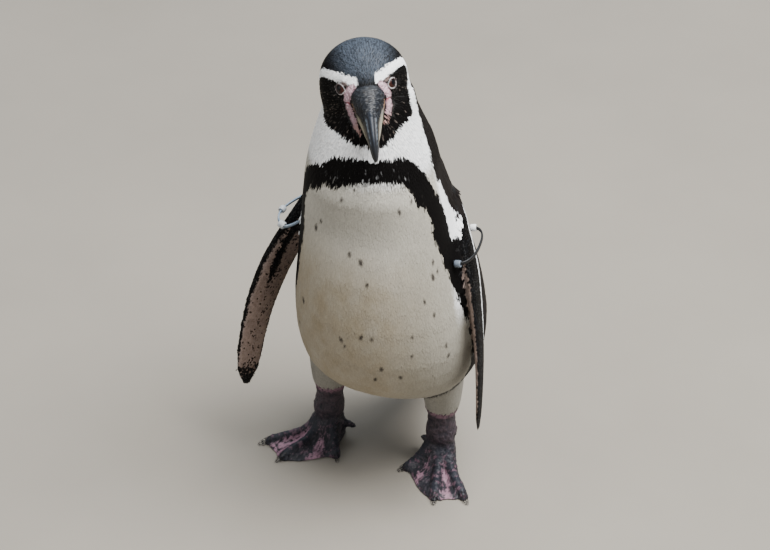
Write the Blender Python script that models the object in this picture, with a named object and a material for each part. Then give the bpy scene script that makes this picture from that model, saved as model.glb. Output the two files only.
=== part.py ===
"""A standing Humboldt penguin, life size, with a band on each flipper.

Metres, +Z up. The bird faces -Y and its left side is +X. It stands on z = 0, and the box round
the whole bird is centred on the origin in X and Y.
"""

import math

import bmesh
import bpy
import numpy as np
from mathutils import Matrix, Vector

MM = 0.001
GAP = 0.3 * MM  # clearance kept where two solids meet
AROUND = 32  # points round each ring of the trunk, neck and head

# ---- Driving dimensions ------------------------------------------------------------------

# Trunk and neck, a stack of level rings: height, half width, front y, back y, sideways shift.
BODY_RINGS = (
    (0.072, 0.008, 0.024, 0.040, 0.003),
    (0.077, 0.030, 0.002, 0.054, 0.003),
    (0.090, 0.053, -0.020, 0.067, 0.005),
    (0.109, 0.070, -0.045, 0.079, 0.006),
    (0.134, 0.0805, -0.072, 0.086, 0.007),
    (0.168, 0.0855, -0.090, 0.087, 0.0075),
    (0.210, 0.0840, -0.097, 0.081, 0.0065),
    (0.255, 0.0770, -0.096, 0.071, 0.0045),
    (0.300, 0.0695, -0.090, 0.058, 0.002),
    (0.340, 0.0630, -0.083, 0.044, -0.001),
    (0.372, 0.0545, -0.075, 0.029, -0.0025),
    (0.398, 0.0455, -0.068, 0.017, -0.0035),
    (0.417, 0.0393, -0.061, 0.009, -0.004),
    (0.436, 0.0330, -0.0515, 0.002, -0.0045),
    (0.446, 0.0200, -0.041, -0.009, -0.006),
)
NECK_CUT = 0.346  # height of the thin cut between trunk and neck
WIDEST_AT = 0.52  # where the widest line runs, from front (0) to back (1)
SQUARENESS = 2.15  # superellipse power of the rings

# Head, in its own frame: forward, left, up, from the middle of the skull.
HEAD_CENTRE = (-0.0069, -0.030, 0.436)
HEAD_YAW = 25.2  # degrees towards the bird's left
HEAD_ROLL = 4.5  # degrees, the right eye lower
# Egg shapes that blend into the head: centre and radii, mm.
HEAD_EGGS = (
    ((-5, -0.8, 2), (33, 38.2, 34.5)),
    ((13, 0, 0), (21, 20, 20)),
    ((0, 16, -15), (22, 20.5, 21)),
    ((0, -17.8, -15), (22, 20.5, 21)),
    ((12, 0, -19), (21, 14, 15)),
)
HEAD_BLEND = 9.0  # mm of rounding where the eggs join
EYE_AT = (17.0, 20.1, 6.0)  # mm, mirrored for the right eye
EYE_RADIUS = 7.6  # mm

# Bill, in its own frame: along, left, up, from the middle of its root on the tomium.
BILL_ROOT = (25.0, 0.0, 1.5)  # mm, in the head frame
BILL_DROOP = 31.0  # degrees below the head's forward axis
# Upper mandible: distance along, half width, height of the culmen, height of the tomium.
BILL_UPPER = (
    (-9, 14.4, 10.5, 0.2),
    (-3, 15.0, 12.6, 0.1),
    (4, 13.8, 13.8, 0.1),
    (12, 11.6, 13.3, 0.2),
    (18, 9.0, 12.8, 0.4),
    (24, 7.2, 12.2, 0.6),
    (32, 6.0, 11.4, 0.8),
    (41, 4.9, 10.2, 0.5),
    (48, 4.0, 8.2, -1.0),
    (54, 3.1, 4.8, -3.0),
    (59.5, 1.2, -1.6, -5.6),
)
# Lower mandible: distance along, half width, height of the tomium, height of the keel.
BILL_LOWER = (
    (-9, 13.2, -0.3, -10.0),
    (0, 13.4, -0.3, -11.0),
    (12, 12.0, -0.3, -10.6),
    (22, 9.9, -0.1, -9.6),
    (32, 7.4, 0.2, -8.2),
    (41, 5.0, 0.1, -6.4),
    (47, 3.2, -0.8, -4.4),
)

# Flippers: root inside the shoulder, tip, the way the leading edge faces, and the mm that the
# blade's middle stands out from and runs ahead of the straight line between root and tip.
FLIPPERS = {
    "right": ((-0.050, 0.002, 0.318), (-0.1210, -0.0480, 0.090), (-0.52, -0.85, 0.0), 9.0, 15.0),
    "left": ((0.0625, 0.012, 0.316), (0.1035, -0.0340, 0.087), (0.22, -0.97, 0.0), 10.5, 12.0),
}
# Share of the length, distance to the leading edge, to the trailing edge, thickness, mm.
FLIPPER_RINGS = (
    (0.00, 7, 8, 8),
    (0.05, 12, 14, 13.5),
    (0.12, 13.5, 19, 15.5),
    (0.22, 15.5, 22, 14),
    (0.36, 20.5, 23.5, 11),
    (0.50, 21.5, 21.5, 8.8),
    (0.64, 20.5, 18.5, 7.2),
    (0.78, 19, 16.5, 5.8),
    (0.90, 16.5, 14.5, 4.6),
    (0.965, 11.5, 10.5, 3.8),
    (1.00, 4.5, 4.5, 2.4),
)

# Legs
LEG_X = {"left": 0.0520, "right": -0.0610}  # sideways place of each ankle
ANKLE_Y = 0.014
TOE_OUT = {"left": 13.0, "right": 29.0}  # degrees that each foot turns outwards
THIGH_RINGS = (  # height, half width, half depth, y
    (0.060, 14.8, 14.2, 0.015),
    (0.066, 17.2, 16.8, 0.015),
    (0.078, 18.6, 20.0, 0.016),
    (0.095, 19.5, 26.0, 0.017),
    (0.115, 19.0, 32.0, 0.020),
    (0.130, 16.0, 28.0, 0.022),
)
SHANK_RINGS = (  # height, half width, half depth, forward shift, mm above
    (0.0303, 14.6, 13.8, 1.5),
    (0.034, 15.8, 15.2, 1.5),
    (0.040, 14.8, 14.2, 1.0),
    (0.048, 13.2, 12.6, 0.3),
    (0.0597, 13.2, 12.4, 0.0),
)
# Toes: angle from the foot's axis (outwards positive), length, half width at the root, mm.
TOES = (
    ("inner", -58.0, 40.0, 7.0),
    ("middle", 0.0, 63.0, 8.4),
    ("outer", 26.0, 66.0, 7.6),
)
WEB_NOTCH = 2.5  # mm that the web's edge draws in between two toes
HEEL_RADIUS = 15.0  # mm
FOOT_TOP = 0.030  # height of the flat that carries the shank
WEB_HEIGHT = 3.4  # mm
HALLUX = (-125.0, 19.5, 15.0, 4.2)  # angle, distance out, height, radius, mm

# Tail: a wedge of stiff feathers, down and back from the rump.
TAIL_ROOT = (0.005, 0.034, 0.134)
TAIL_TIP = (0.005, 0.116, 0.017)
TAIL_RINGS = (  # share of the length, half width, half thickness, mm
    (0.0, 42, 32),
    (0.3, 42, 31),
    (0.5, 36, 24),
    (0.68, 27, 14),
    (0.86, 17, 6),
    (1.0, 6, 2.5),
)

# Flipper bands: front and back end of the loop, the way it bulges out, and how far it stands
# out and in from the line between its ends, mm.
BANDS = {
    "left": ((0.0784, -0.0329, 0.268), (0.0732, 0.0245, 0.268), (0.98, 0.10, 0.19), 15.0, 5.0),
    "right": ((-0.0833, -0.0366, 0.2728), (-0.0625, 0.0160, 0.2735), (-0.85, 0.52, 0.30), 16.0, 5.0),
}
BAND_RADIUS = 1.4  # mm
BEAD_RADIUS = 3.3  # mm
BEADS_AT = {"left": (0.015, 0.53), "right": (0.015, 0.17)}  # share of the way round from the front


# ---- Mesh helpers ------------------------------------------------------------------------


def through(stations, at):
    """Columns of the stations read at the given places, on smooth curves through them."""
    table = np.array(stations, float)
    x = table[:, 0]
    slopes = np.gradient(table[:, 1:], x, axis=0)
    at = np.clip(np.asarray(at, float), x[0], x[-1])
    i = np.clip(np.searchsorted(x, at, side="right") - 1, 0, len(x) - 2)
    h = (x[i + 1] - x[i])[:, None]
    t = (at[:, None] - x[i][:, None]) / h
    a, b = table[i, 1:], table[i + 1, 1:]
    ma, mb = slopes[i] * h, slopes[i + 1] * h
    return (
        (2 * t**3 - 3 * t**2 + 1) * a
        + (t**3 - 2 * t**2 + t) * ma
        + (-2 * t**3 + 3 * t**2) * b
        + (t**3 - t**2) * mb
    )


def material(name, colour, roughness, metallic=0.0):
    made = bpy.data.materials.get(name) or bpy.data.materials.new(name)
    made.use_nodes = True
    shader = made.node_tree.nodes["Principled BSDF"]
    shader.inputs["Base Color"].default_value = (*colour, 1.0)
    shader.inputs["Roughness"].default_value = roughness
    shader.inputs["Metallic"].default_value = metallic
    return made


def plumage():
    return material("plumage", (0.80, 0.77, 0.70), 0.7)


def dark_plumage():
    return material("dark_plumage", (0.035, 0.032, 0.032), 0.65)


def bare_skin():
    return material("bare_skin", (0.05, 0.045, 0.055), 0.6)


def horn():
    return material("horn", (0.05, 0.055, 0.06), 0.4)


def add_object(name, bm, finish):
    bmesh.ops.remove_doubles(bm, verts=bm.verts, dist=0.01 * MM)
    bmesh.ops.recalc_face_normals(bm, faces=bm.faces)
    mesh = bpy.data.meshes.new(name)
    bm.to_mesh(mesh)
    bm.free()
    mesh.shade_smooth()
    obj = bpy.data.objects.new(name, mesh)
    obj.data.materials.append(finish)
    bpy.context.scene.collection.objects.link(obj)
    return obj


def skin_rings(rings):
    """A closed mesh through the rings, each an (n, 3) array, with a flat cap on each end."""
    bm = bmesh.new()
    rows = [[bm.verts.new(p) for p in ring] for ring in rings]
    count = len(rows[0])
    for low, high in zip(rows, rows[1:]):
        for i in range(count):
            j = (i + 1) % count
            bm.faces.new((low[i], low[j], high[j], high[i]))
    bm.faces.new(rows[0][::-1])
    bm.faces.new(rows[-1])
    return bm


def cutter(obj):
    obj.hide_render = True
    obj.display_type = "WIRE"
    return obj


def cut(obj, tool, name="cut"):
    boolean = obj.modifiers.new(name, "BOOLEAN")
    boolean.operation = "DIFFERENCE"
    boolean.solver = "EXACT"
    boolean.object = tool


# ---- Trunk and neck ----------------------------------------------------------------------


def body_ring(z, grow, count):
    """One level ring of the trunk or neck, pushed out by grow."""
    width, front, back, shift = through(BODY_RINGS, [z])[0]
    middle = front + WIDEST_AT * (back - front)
    angle = np.linspace(0, 2 * math.pi, count, endpoint=False)
    c, s = np.cos(angle), np.sin(angle)
    power = 2 / SQUARENESS
    depth = np.where(s < 0, middle - front, back - middle) + grow
    x = shift + (width + grow) * np.sign(c) * np.abs(c) ** power
    y = middle + depth * np.sign(s) * np.abs(s) ** power
    return np.stack([x, y, np.full(count, z)], 1)


def body_solid(name, low, high, rings, grow, count):
    """The stretch of the body between two heights. Heights crowd towards a round end."""
    share = np.linspace(0, 1, rings)
    if low < BODY_RINGS[1][0]:
        share = share**1.6
    heights = low + (high - low) * share
    return add_object(name, skin_rings([body_ring(z, grow, count) for z in heights]), plumage())


# ---- Head --------------------------------------------------------------------------------


def head_matrix():
    """From the head's frame (forward, left, up) to the world."""
    yaw = math.radians(HEAD_YAW)
    forward = Vector((math.sin(yaw), -math.cos(yaw), 0))
    up = Vector((0, 0, 1))
    left = up.cross(forward)
    turned = Matrix.Rotation(math.radians(HEAD_ROLL), 3, forward)
    axes = Matrix((forward, turned @ left, turned @ up)).transposed()
    return Matrix.Translation(HEAD_CENTRE) @ axes.to_4x4()


def egg_distance(points, centre, radii):
    p = (points - np.array(centre, float)) / np.array(radii, float)
    k0 = np.linalg.norm(p, axis=1)
    k1 = np.linalg.norm(p / np.array(radii, float), axis=1)
    return k0 * (k0 - 1) / np.maximum(k1, 1e-9)


def head_distance(points):
    """Signed distance in mm from the head's surface, with the eggs blended together."""
    found = None
    for centre, radii in HEAD_EGGS:
        d = egg_distance(points, centre, radii)
        if found is None:
            found = d
            continue
        h = np.clip(0.5 + 0.5 * (found - d) / HEAD_BLEND, 0, 1)
        found = found * (1 - h) + d * h - HEAD_BLEND * h * (1 - h)
    return found


def head_radius(directions):
    near = np.full(len(directions), 4.0)
    far = np.full(len(directions), 75.0)
    for _ in range(28):
        middle = (near + far) / 2
        inside = head_distance(directions * middle[:, None]) < 0
        near = np.where(inside, middle, near)
        far = np.where(inside, far, middle)
    return near


def head_solid(name, grow, rings, count):
    """Rings round the head's forward axis, from the back of the skull to the bill's root."""
    angle = np.linspace(0, 2 * math.pi, count, endpoint=False)
    made = []
    for polar in np.linspace(math.radians(6), math.radians(174), rings):
        out = np.stack(
            [
                np.full(count, -math.cos(polar)),
                math.sin(polar) * np.cos(angle),
                math.sin(polar) * np.sin(angle),
            ],
            1,
        )
        made.append(out * (head_radius(out) * MM + grow)[:, None])
    obj = add_object(name, skin_rings(made), plumage())
    obj.data.transform(head_matrix())
    return obj


def eye_solid(side, name, grow):
    bm = bmesh.new()
    centre = Vector((EYE_AT[0], EYE_AT[1] * side, EYE_AT[2])) * MM
    bmesh.ops.create_uvsphere(bm, u_segments=12, v_segments=8, radius=EYE_RADIUS * MM + grow)
    outward = Vector((0.25, side, 0.1)).to_track_quat("Z", "Y").to_matrix().to_4x4()
    bm.transform(head_matrix() @ Matrix.Translation(centre) @ outward)
    return add_object(name, bm, material("eye", (0.10, 0.03, 0.02), 0.1))


# ---- Bill --------------------------------------------------------------------------------


def bill_matrix():
    """From the bill's frame (along, left, up) to the world."""
    tilt = Matrix.Rotation(math.radians(BILL_DROOP), 4, "Y")
    return head_matrix() @ Matrix.Translation(Vector(BILL_ROOT) * MM) @ tilt


def arch(width, edge, crown, count, fullness=2.4):
    """An arch over a flat base, as (left, up) points: from one edge over the crown and back."""
    angle = np.linspace(0, math.pi, count)
    side = np.sign(np.cos(angle)) * np.abs(np.cos(angle)) ** (2 / fullness)
    return np.stack([width * side, edge + (crown - edge) * np.sin(angle) ** (2 / 1.8)], 1)


def mandible(name, stations, steps, count):
    along = np.linspace(stations[0][0], stations[-1][0], steps)
    rings = []
    for x, row in zip(along, through(stations, along)):
        width, first, second = row
        edge, crown = (second, first) if first > 0.5 or x > 56 else (first, second)
        section = arch(width, edge, crown, count)
        rings.append(np.column_stack([np.full(count, x), section]) * MM)
    obj = add_object(name, skin_rings(rings), horn())
    obj.data.transform(bill_matrix())
    return obj


# ---- Flippers and bands ------------------------------------------------------------------


def flipper_axes(side):
    """Root, and the unit vectors down the flipper, to its leading edge and out of its back."""
    root, tip, lead = (Vector(v) for v in FLIPPERS[side][:3])
    down = (tip - root).normalized()
    forward = (lead - down * lead.dot(down)).normalized()
    outward = down.cross(forward)
    if outward.x * root.x < 0:
        outward.negate()
    return root, down, forward, outward, (tip - root).length


def flipper_solid(side, grow, steps, count, name):
    root, down, forward, outward, length = flipper_axes(side)
    share = np.linspace(0, 1, steps) ** 0.85
    angle = np.linspace(0, 2 * math.pi, count, endpoint=False)
    rings = []
    for s, (lead, trail, thick) in zip(share, through(FLIPPER_RINGS, share)):
        bow, sweep = (mm * MM * math.sin(math.pi * s) for mm in FLIPPERS[side][3:])
        c, n = np.cos(angle), np.sin(angle)
        chord = np.where(c > 0, lead, trail) * MM + grow
        rise = (thick / 2 * MM + grow) * np.sign(n) * np.abs(n) ** 0.9
        place = (
            np.array(root + down * (s * length) + outward * bow + forward * sweep)
            + (chord * c)[:, None] * np.array(forward)
            + rise[:, None] * np.array(outward)
        )
        rings.append(place)
    return add_object(name, skin_rings(rings), dark_plumage())


def band_loop(side, count):
    """Points round the loop's middle line, evenly spaced from its front end."""
    front, back, out = (np.array(v) for v in BANDS[side][:3])
    standing, inside = BANDS[side][3:]
    half = (front - back) / 2
    along = half / np.linalg.norm(half)
    out = out - along * (out @ along)
    out /= np.linalg.norm(out)
    turn = np.linspace(0, 2 * math.pi, 721)
    c, s = np.cos(turn), np.sin(turn)
    reach = np.where(s > 0, standing, inside) * MM
    lengthways = np.sign(c) * np.abs(c) ** (2 / 2.5)
    across = reach * np.sign(s) * np.abs(s) ** (2 / 2.5)
    line = (front + back) / 2 + lengthways[:, None] * half + across[:, None] * out
    walked = np.append(0, np.cumsum(np.linalg.norm(np.diff(line, axis=0), axis=1)))
    places = np.linspace(0, walked[-1], count, endpoint=False)
    even = np.stack([np.interp(places, walked, line[:, k]) for k in range(3)], 1)
    return [Vector(p) for p in even]


def tube(points, radius, sides):
    """A closed tube round a closed line of points."""
    bm = bmesh.new()
    count = len(points)
    centre = sum(points, Vector()) / count
    rows = []
    for i, p in enumerate(points):
        ahead = (points[(i + 1) % count] - points[i - 1]).normalized()
        side = (p - centre).normalized()
        up = ahead.cross(side).normalized()
        side = up.cross(ahead)
        rows.append(
            [
                bm.verts.new(p + (side * math.cos(a) + up * math.sin(a)) * radius)
                for a in np.linspace(0, 2 * math.pi, sides, endpoint=False)
            ]
        )
    for i in range(count):
        low, high = rows[i], rows[(i + 1) % count]
        for k in range(sides):
            m = (k + 1) % sides
            bm.faces.new((low[k], low[m], high[m], high[k]))
    return bm


def bead_solid(name, side, share, hole):
    """A rounded bead threaded on the band, cut by the hole that the band runs through."""
    points = band_loop(side, 72)
    i = int(round(share * len(points))) % len(points)
    ahead = (points[(i + 1) % len(points)] - points[i - 1]).normalized()
    bm = bmesh.new()
    bmesh.ops.create_cone(
        bm,
        cap_ends=True,
        segments=8,
        radius1=BEAD_RADIUS * MM,
        radius2=BEAD_RADIUS * MM,
        depth=5.0 * MM,
    )
    bmesh.ops.bevel(
        bm,
        geom=[e for e in bm.edges if abs(e.verts[0].co.z - e.verts[1].co.z) < 1e-6],
        offset=0.8 * MM,
        segments=1,
        affect="EDGES",
    )
    turn = ahead.to_track_quat("Z", "Y").to_matrix().to_4x4()
    bm.transform(Matrix.Translation(points[i]) @ turn)
    obj = add_object(name, bm, material("bead", (0.55, 0.60, 0.66), 0.35))
    cut(obj, hole)
    return obj


# ---- Legs and feet -----------------------------------------------------------------------


def level_ring(x, y, z, half_width, half_depth, count):
    angle = np.linspace(0, 2 * math.pi, count, endpoint=False)
    return np.stack(
        [x + half_width * np.cos(angle), y + half_depth * np.sin(angle), np.full(count, z)], 1
    )


def thigh_solid(side, steps, count):
    heights = np.linspace(THIGH_RINGS[0][0], THIGH_RINGS[-1][0], steps)
    rings = [
        level_ring(LEG_X[side], y, z, w * MM, d * MM, count)
        for z, (w, d, y) in zip(heights, through(THIGH_RINGS, heights))
    ]
    return add_object(f"thigh_{side}", skin_rings(rings), plumage())


def foot_axes(side):
    """The foot's forward and outward directions, level."""
    out = 1 if side == "left" else -1
    turn = math.radians(TOE_OUT[side])
    forward = Vector((out * math.sin(turn), -math.cos(turn), 0))
    outward = Vector((out * math.cos(turn), math.sin(turn), 0))
    return forward, outward


def shank_solid(side, steps, count):
    forward, _ = foot_axes(side)
    heights = np.linspace(SHANK_RINGS[0][0], SHANK_RINGS[-1][0], steps)
    rings = []
    for z, (w, d, shift) in zip(heights, through(SHANK_RINGS, heights)):
        centre = Vector((LEG_X[side], ANKLE_Y, 0)) + forward * (shift * MM)
        rings.append(level_ring(centre.x, centre.y, z, w * MM, d * MM, count))
    return add_object(f"shank_{side}", skin_rings(rings), bare_skin())


def foot_reach(angle):
    """Distance in mm from the ankle to the foot's edge, by angle in degrees from its axis."""
    reach = np.full(len(angle), HEEL_RADIUS)
    for _, at, length, half in TOES:
        width = np.degrees(half / length)
        reach = np.maximum(reach, length * np.exp(-(((angle - at) / (width * 1.5)) ** 4)))
    for (_, a, la, _), (_, b, lb, _) in zip(TOES, TOES[1:]):
        share = np.clip((angle - a) / (b - a), 0, 1)
        between = (angle >= a) & (angle <= b)
        web = la + (lb - la) * share - WEB_NOTCH * np.sin(math.pi * share) ** 0.7 - 4
        reach = np.where(between, np.maximum(reach, web), reach)
    for edge, length, outside in ((TOES[0], 27.0, -1), (TOES[-1], 44.0, 1)):
        away = (angle - edge[1]) * outside
        flank = HEEL_RADIUS + (length - HEEL_RADIUS) * np.exp(-((np.maximum(away, 0) / 22) ** 2))
        reach = np.where(away > 0, np.maximum(reach, flank), reach)
    return reach


def foot_height(forward, outward):
    """Height in mm of the foot's back above a level place given in mm from the ankle."""
    r = np.hypot(forward, outward)
    angle = np.degrees(np.arctan2(outward, forward))
    web = WEB_HEIGHT + 3.0 * np.exp(-((r / 45) ** 2))
    found = web
    for _, at, length, half in TOES:
        across = r * np.sin(np.radians(angle - at))
        along = r * np.cos(np.radians(angle - at))
        tall = 15.0 - 8.0 * np.clip(along / length, 0, 1) ** 0.8
        end = np.clip((length + 4 - along) / 10, 0, 1) ** 0.5
        ridge = tall * end * np.exp(-((across / (half * 0.95)) ** 2)) * (along > 0)
        found = np.maximum(found, web + (ridge - web) * (ridge > web))
    dome = (FOOT_TOP / MM) * np.exp(-((np.maximum(r - 13, 0) / 10.5) ** 1.5))
    return np.minimum(np.maximum(found, dome), FOOT_TOP / MM)


def foot_solid(side, grow, rings, count, name):
    """A polar mesh round the ankle: the modelled back, a rounded edge and a flat sole."""
    forward, outward = foot_axes(side)
    toe_angles = np.degrees(np.linspace(-math.pi, math.pi, count, endpoint=False))
    crowd = 0.72 * np.sin(np.radians(toe_angles))
    angle = toe_angles - np.degrees(crowd)
    reach = foot_reach(angle) + grow / MM
    heading = np.radians(angle)
    ankle = np.array((LEG_X[side], ANKLE_Y, 0.0))
    layers = []
    for share in np.linspace(0.16, 1.0, rings) ** 0.9:
        f, o = reach * share * np.cos(heading), reach * share * np.sin(heading)
        edge = np.clip((1 - share) * reach / 3.0, 0, 1) ** 0.5
        h = 1.2 + (foot_height(f, o) - 1.2) * edge + grow / MM
        layers.append((f, o, h))
    sole = -grow / MM
    f, o = reach * 0.97 * np.cos(heading), reach * 0.97 * np.sin(heading)
    layers.append((f, o, np.full(count, sole)))
    placed = [
        ankle
        + (f[:, None] * np.array(forward) + o[:, None] * np.array(outward)) * MM
        + np.array((0, 0, 1)) * (h[:, None] * MM)
        for f, o, h in layers
    ]
    return add_object(name, skin_rings(placed), bare_skin())


def hallux_solid(side, grow, name):
    """The small hind toe on the inner side of the foot."""
    forward, outward = foot_axes(side)
    turn, out, height, radius = HALLUX
    way = forward * math.cos(math.radians(turn)) + outward * math.sin(math.radians(turn))
    centre = Vector((LEG_X[side], ANKLE_Y, 0)) + way * (out * MM) + Vector((0, 0, height * MM))
    bm = bmesh.new()
    bmesh.ops.create_uvsphere(bm, u_segments=8, v_segments=6, radius=radius * MM + grow)
    long_way = (way + Vector((0, 0, -0.35))).normalized()
    stretch = Matrix.Diagonal((1, 1, 1.9, 1))
    bm.transform(
        Matrix.Translation(centre) @ long_way.to_track_quat("Z", "Y").to_matrix().to_4x4() @ stretch
    )
    return add_object(name, bm, bare_skin())


def claw_solid(name, base, way, length, radius):
    """A short blunt hook, flat underneath where it meets the floor."""
    steps, count = 5, 8
    angle = np.linspace(0, 2 * math.pi, count, endpoint=False)
    side = Vector((0, 0, 1)).cross(way).normalized()
    up = way.cross(side)
    rings = []
    for s in np.linspace(0, 1, steps):
        r = radius * (1 - s) ** 0.7 + 0.25 * MM
        centre = base + way * (length * s) + Vector((0, 0, -1)) * (radius * 0.9 * s**2)
        ring = [
            np.array(centre + side * (r * 0.8 * math.cos(a)) + up * (r * math.sin(a)))
            for a in angle
        ]
        rings.append(np.maximum(np.array(ring), (-9, -9, 0.15 * MM)))
    return add_object(name, skin_rings(rings), horn())


def leg(side):
    """Thigh, shank, foot with its hind toe, and four claws."""
    body_tool = cutter(body_solid(f"tool_rump_{side}", 0.072, 0.19, 16, 1.8 * GAP, AROUND))
    thigh = thigh_solid(side, 7, 20)
    cut(thigh, body_tool)
    shank_solid(side, 5, 18)
    foot_solid(side, 0, 7, 42, f"foot_{side}")
    foot_tool = cutter(foot_solid(side, GAP, 7, 42, f"tool_foot_{side}"))
    hallux = hallux_solid(side, 0, f"hallux_{side}")
    cut(hallux, foot_tool)
    forward, outward = foot_axes(side)
    ankle = Vector((LEG_X[side], ANKLE_Y, 0))
    for toe, at, length, half in TOES:
        way = forward * math.cos(math.radians(at)) + outward * math.sin(math.radians(at))
        base = ankle + way * ((length - 7) * MM) + Vector((0, 0, 3.4 * MM))
        claw = claw_solid(f"claw_{toe}_{side}", base, way, 14 * MM, half * 0.5 * MM)
        cut(claw, foot_tool)


def build_body():
    trunk_top = NECK_CUT - GAP
    body_solid("trunk", 0.072, trunk_top, 17, 0.0, AROUND)
    neck = body_solid("neck", NECK_CUT + GAP, 0.446, 7, 0.0, AROUND)
    head = head_solid("head", 0.0, 18, AROUND)
    head_tool = cutter(head_solid("tool_head", GAP, 18, AROUND))
    cut(neck, head_tool)
    for side, sign in (("left", 1), ("right", -1)):
        eye_solid(sign, f"eye_{side}", 0.0)
        socket = cutter(eye_solid(sign, f"tool_eye_{side}", GAP))
        cut(head, socket, f"socket_{side}")
    for name, stations in (("bill_upper", BILL_UPPER), ("bill_lower", BILL_LOWER)):
        cut(mandible(name, stations, 12, 13), head_tool)


def build_tail():
    root, tip = Vector(TAIL_ROOT), Vector(TAIL_TIP)
    down = (tip - root).normalized()
    side = Vector((1, 0, 0))
    back = side.cross(down)
    angle = np.linspace(0, 2 * math.pi, 16, endpoint=False)
    rings = []
    for s, (w, t) in zip(np.linspace(0, 1, 8), through(TAIL_RINGS, np.linspace(0, 1, 8))):
        centre = np.array(root + (tip - root) * s)
        across = (w * MM * np.cos(angle))[:, None] * np.array(side)
        rings.append(centre + across + (t * MM * np.sin(angle))[:, None] * np.array(back))
    tail = add_object("tail", skin_rings(rings), dark_plumage())
    cut(tail, cutter(body_solid("tool_rump", 0.072, 0.19, 16, 1.8 * GAP, AROUND)))


def build_flipper(side):
    flipper = flipper_solid(side, 0.0, 13, 16, f"flipper_{side}")
    cut(flipper, cutter(body_solid(f"tool_shoulder_{side}", 0.18, 0.346, 12, GAP, AROUND)))
    strap = tube(band_loop(side, 28), BAND_RADIUS * MM, 6)
    add_object(f"band_{side}", strap, material("band", (0.02, 0.022, 0.026), 0.4))
    hole = tube(band_loop(side, 28), BAND_RADIUS * MM + GAP, 6)
    hole = cutter(add_object(f"tool_band_{side}", hole, horn()))
    cut(flipper, hole, "band groove")
    cut(bpy.data.objects["trunk"], hole, f"band groove {side}")
    for number, share in enumerate(BEADS_AT[side], 1):
        bead_solid(f"bead_{side}_{number}", side, share, hole)


def centre_on_floor():
    """Moves everything so that the box round the solids is centred in X and Y."""
    bpy.context.view_layer.update()
    graph = bpy.context.evaluated_depsgraph_get()
    corners = np.array(
        [
            o.evaluated_get(graph).matrix_world @ Vector(c)
            for o in bpy.context.scene.objects
            if not o.hide_render
            for c in o.evaluated_get(graph).bound_box
        ]
    )
    middle = (corners.min(0) + corners.max(0)) / 2
    shift = Matrix.Translation((-middle[0], -middle[1], -corners[:, 2].min()))
    for o in bpy.context.scene.objects:
        o.data.transform(shift)


def main():
    for o in list(bpy.data.objects):
        bpy.data.objects.remove(o)
    build_body()
    build_tail()
    for side in ("left", "right"):
        build_flipper(side)
        leg(side)
    centre_on_floor()


main()
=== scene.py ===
"""A standing Humboldt penguin: skin, feathers, bill, eyes, feet and flipper bands over its solids.

Metres, +Z up. The bird faces -Y and its left is +X. Places on the head are given in the head's
own axes (forward, left, up, in mm from the middle of the skull), and places on the body as an
angle round the trunk (0 in front, towards the bird's left) and a height.
"""

import math

import bmesh
import bpy
import numpy as np
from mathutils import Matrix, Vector
from mathutils.bvhtree import BVHTree


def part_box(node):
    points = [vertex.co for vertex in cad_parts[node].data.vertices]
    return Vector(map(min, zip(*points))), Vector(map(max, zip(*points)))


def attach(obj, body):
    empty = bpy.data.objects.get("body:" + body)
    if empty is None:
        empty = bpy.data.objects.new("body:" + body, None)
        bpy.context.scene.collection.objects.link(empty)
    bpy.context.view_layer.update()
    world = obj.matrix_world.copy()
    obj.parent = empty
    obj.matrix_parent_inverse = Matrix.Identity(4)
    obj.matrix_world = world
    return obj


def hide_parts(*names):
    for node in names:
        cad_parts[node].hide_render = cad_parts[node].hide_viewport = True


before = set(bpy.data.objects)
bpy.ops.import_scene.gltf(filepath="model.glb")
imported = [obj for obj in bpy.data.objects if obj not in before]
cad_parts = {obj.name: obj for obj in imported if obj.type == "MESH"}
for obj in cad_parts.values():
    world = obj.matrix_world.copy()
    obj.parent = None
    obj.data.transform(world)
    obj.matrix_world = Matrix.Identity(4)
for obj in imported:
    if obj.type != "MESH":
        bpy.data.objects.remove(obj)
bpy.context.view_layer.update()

MM = 0.001
FAR = 1e9  # further than any place, in any units
SIDES = {"left": 1, "right": -1}
TOES = ("inner", "middle", "outer")
RNG = np.random.default_rng(7)

# ---- Driving dimensions ----

VOXEL = 1.8 * MM  # size of the skin's first mesh
GROWN = 0.5 * MM  # solids are grown by this before they are joined, so that they overlap
CAMERA = {"azimuth": 20.0, "elevation": 36.0, "distance": 2.3, "lens": 118.14}

LIMBS = ("flipper", "thigh", "shank", "foot", "hallux")
FLESH = ["trunk", "neck", "head", "tail"] + [f"{limb}_{side}" for limb in LIMBS for side in SIDES]
BARE = ("shank", "foot", "hallux")
FINE_PARTS = ("head", *BARE)  # where the skin's mesh is made finer

# How much the joined flesh is smoothed, from 0 to 1.
SOFTNESS = {
    "trunk": 1.0, "neck": 1.0, "thigh": 0.8, "tail": 0.3, "head": 0.5, "flipper": 0.25,
    "shank": 0.35, "foot": 0.16, "hallux": 0.15,
}
SHOULDER = 4.0  # how far the left shoulder lies in from its solid, mm
WEB = 5.0  # how far the edges of the webs reach past their solids, mm
BARE_SHIN = 6.0  # bare skin left below the feathers of each thigh's solid, mm
WEB_HEADINGS = (-29.0, 13.0)  # where the webs lie on a foot, degrees outward of its middle
NAIL_FULLER = 1.1  # how far the claws stand out of their solids, mm
# How far the skin lies under the tips of the feathers, mm.
COAT_DEPTH = {"trunk": 0.5, "neck": 0.5, "head": 0.6, "tail": 1.5, "flipper": 0.3, "thigh": 0.5}

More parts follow.
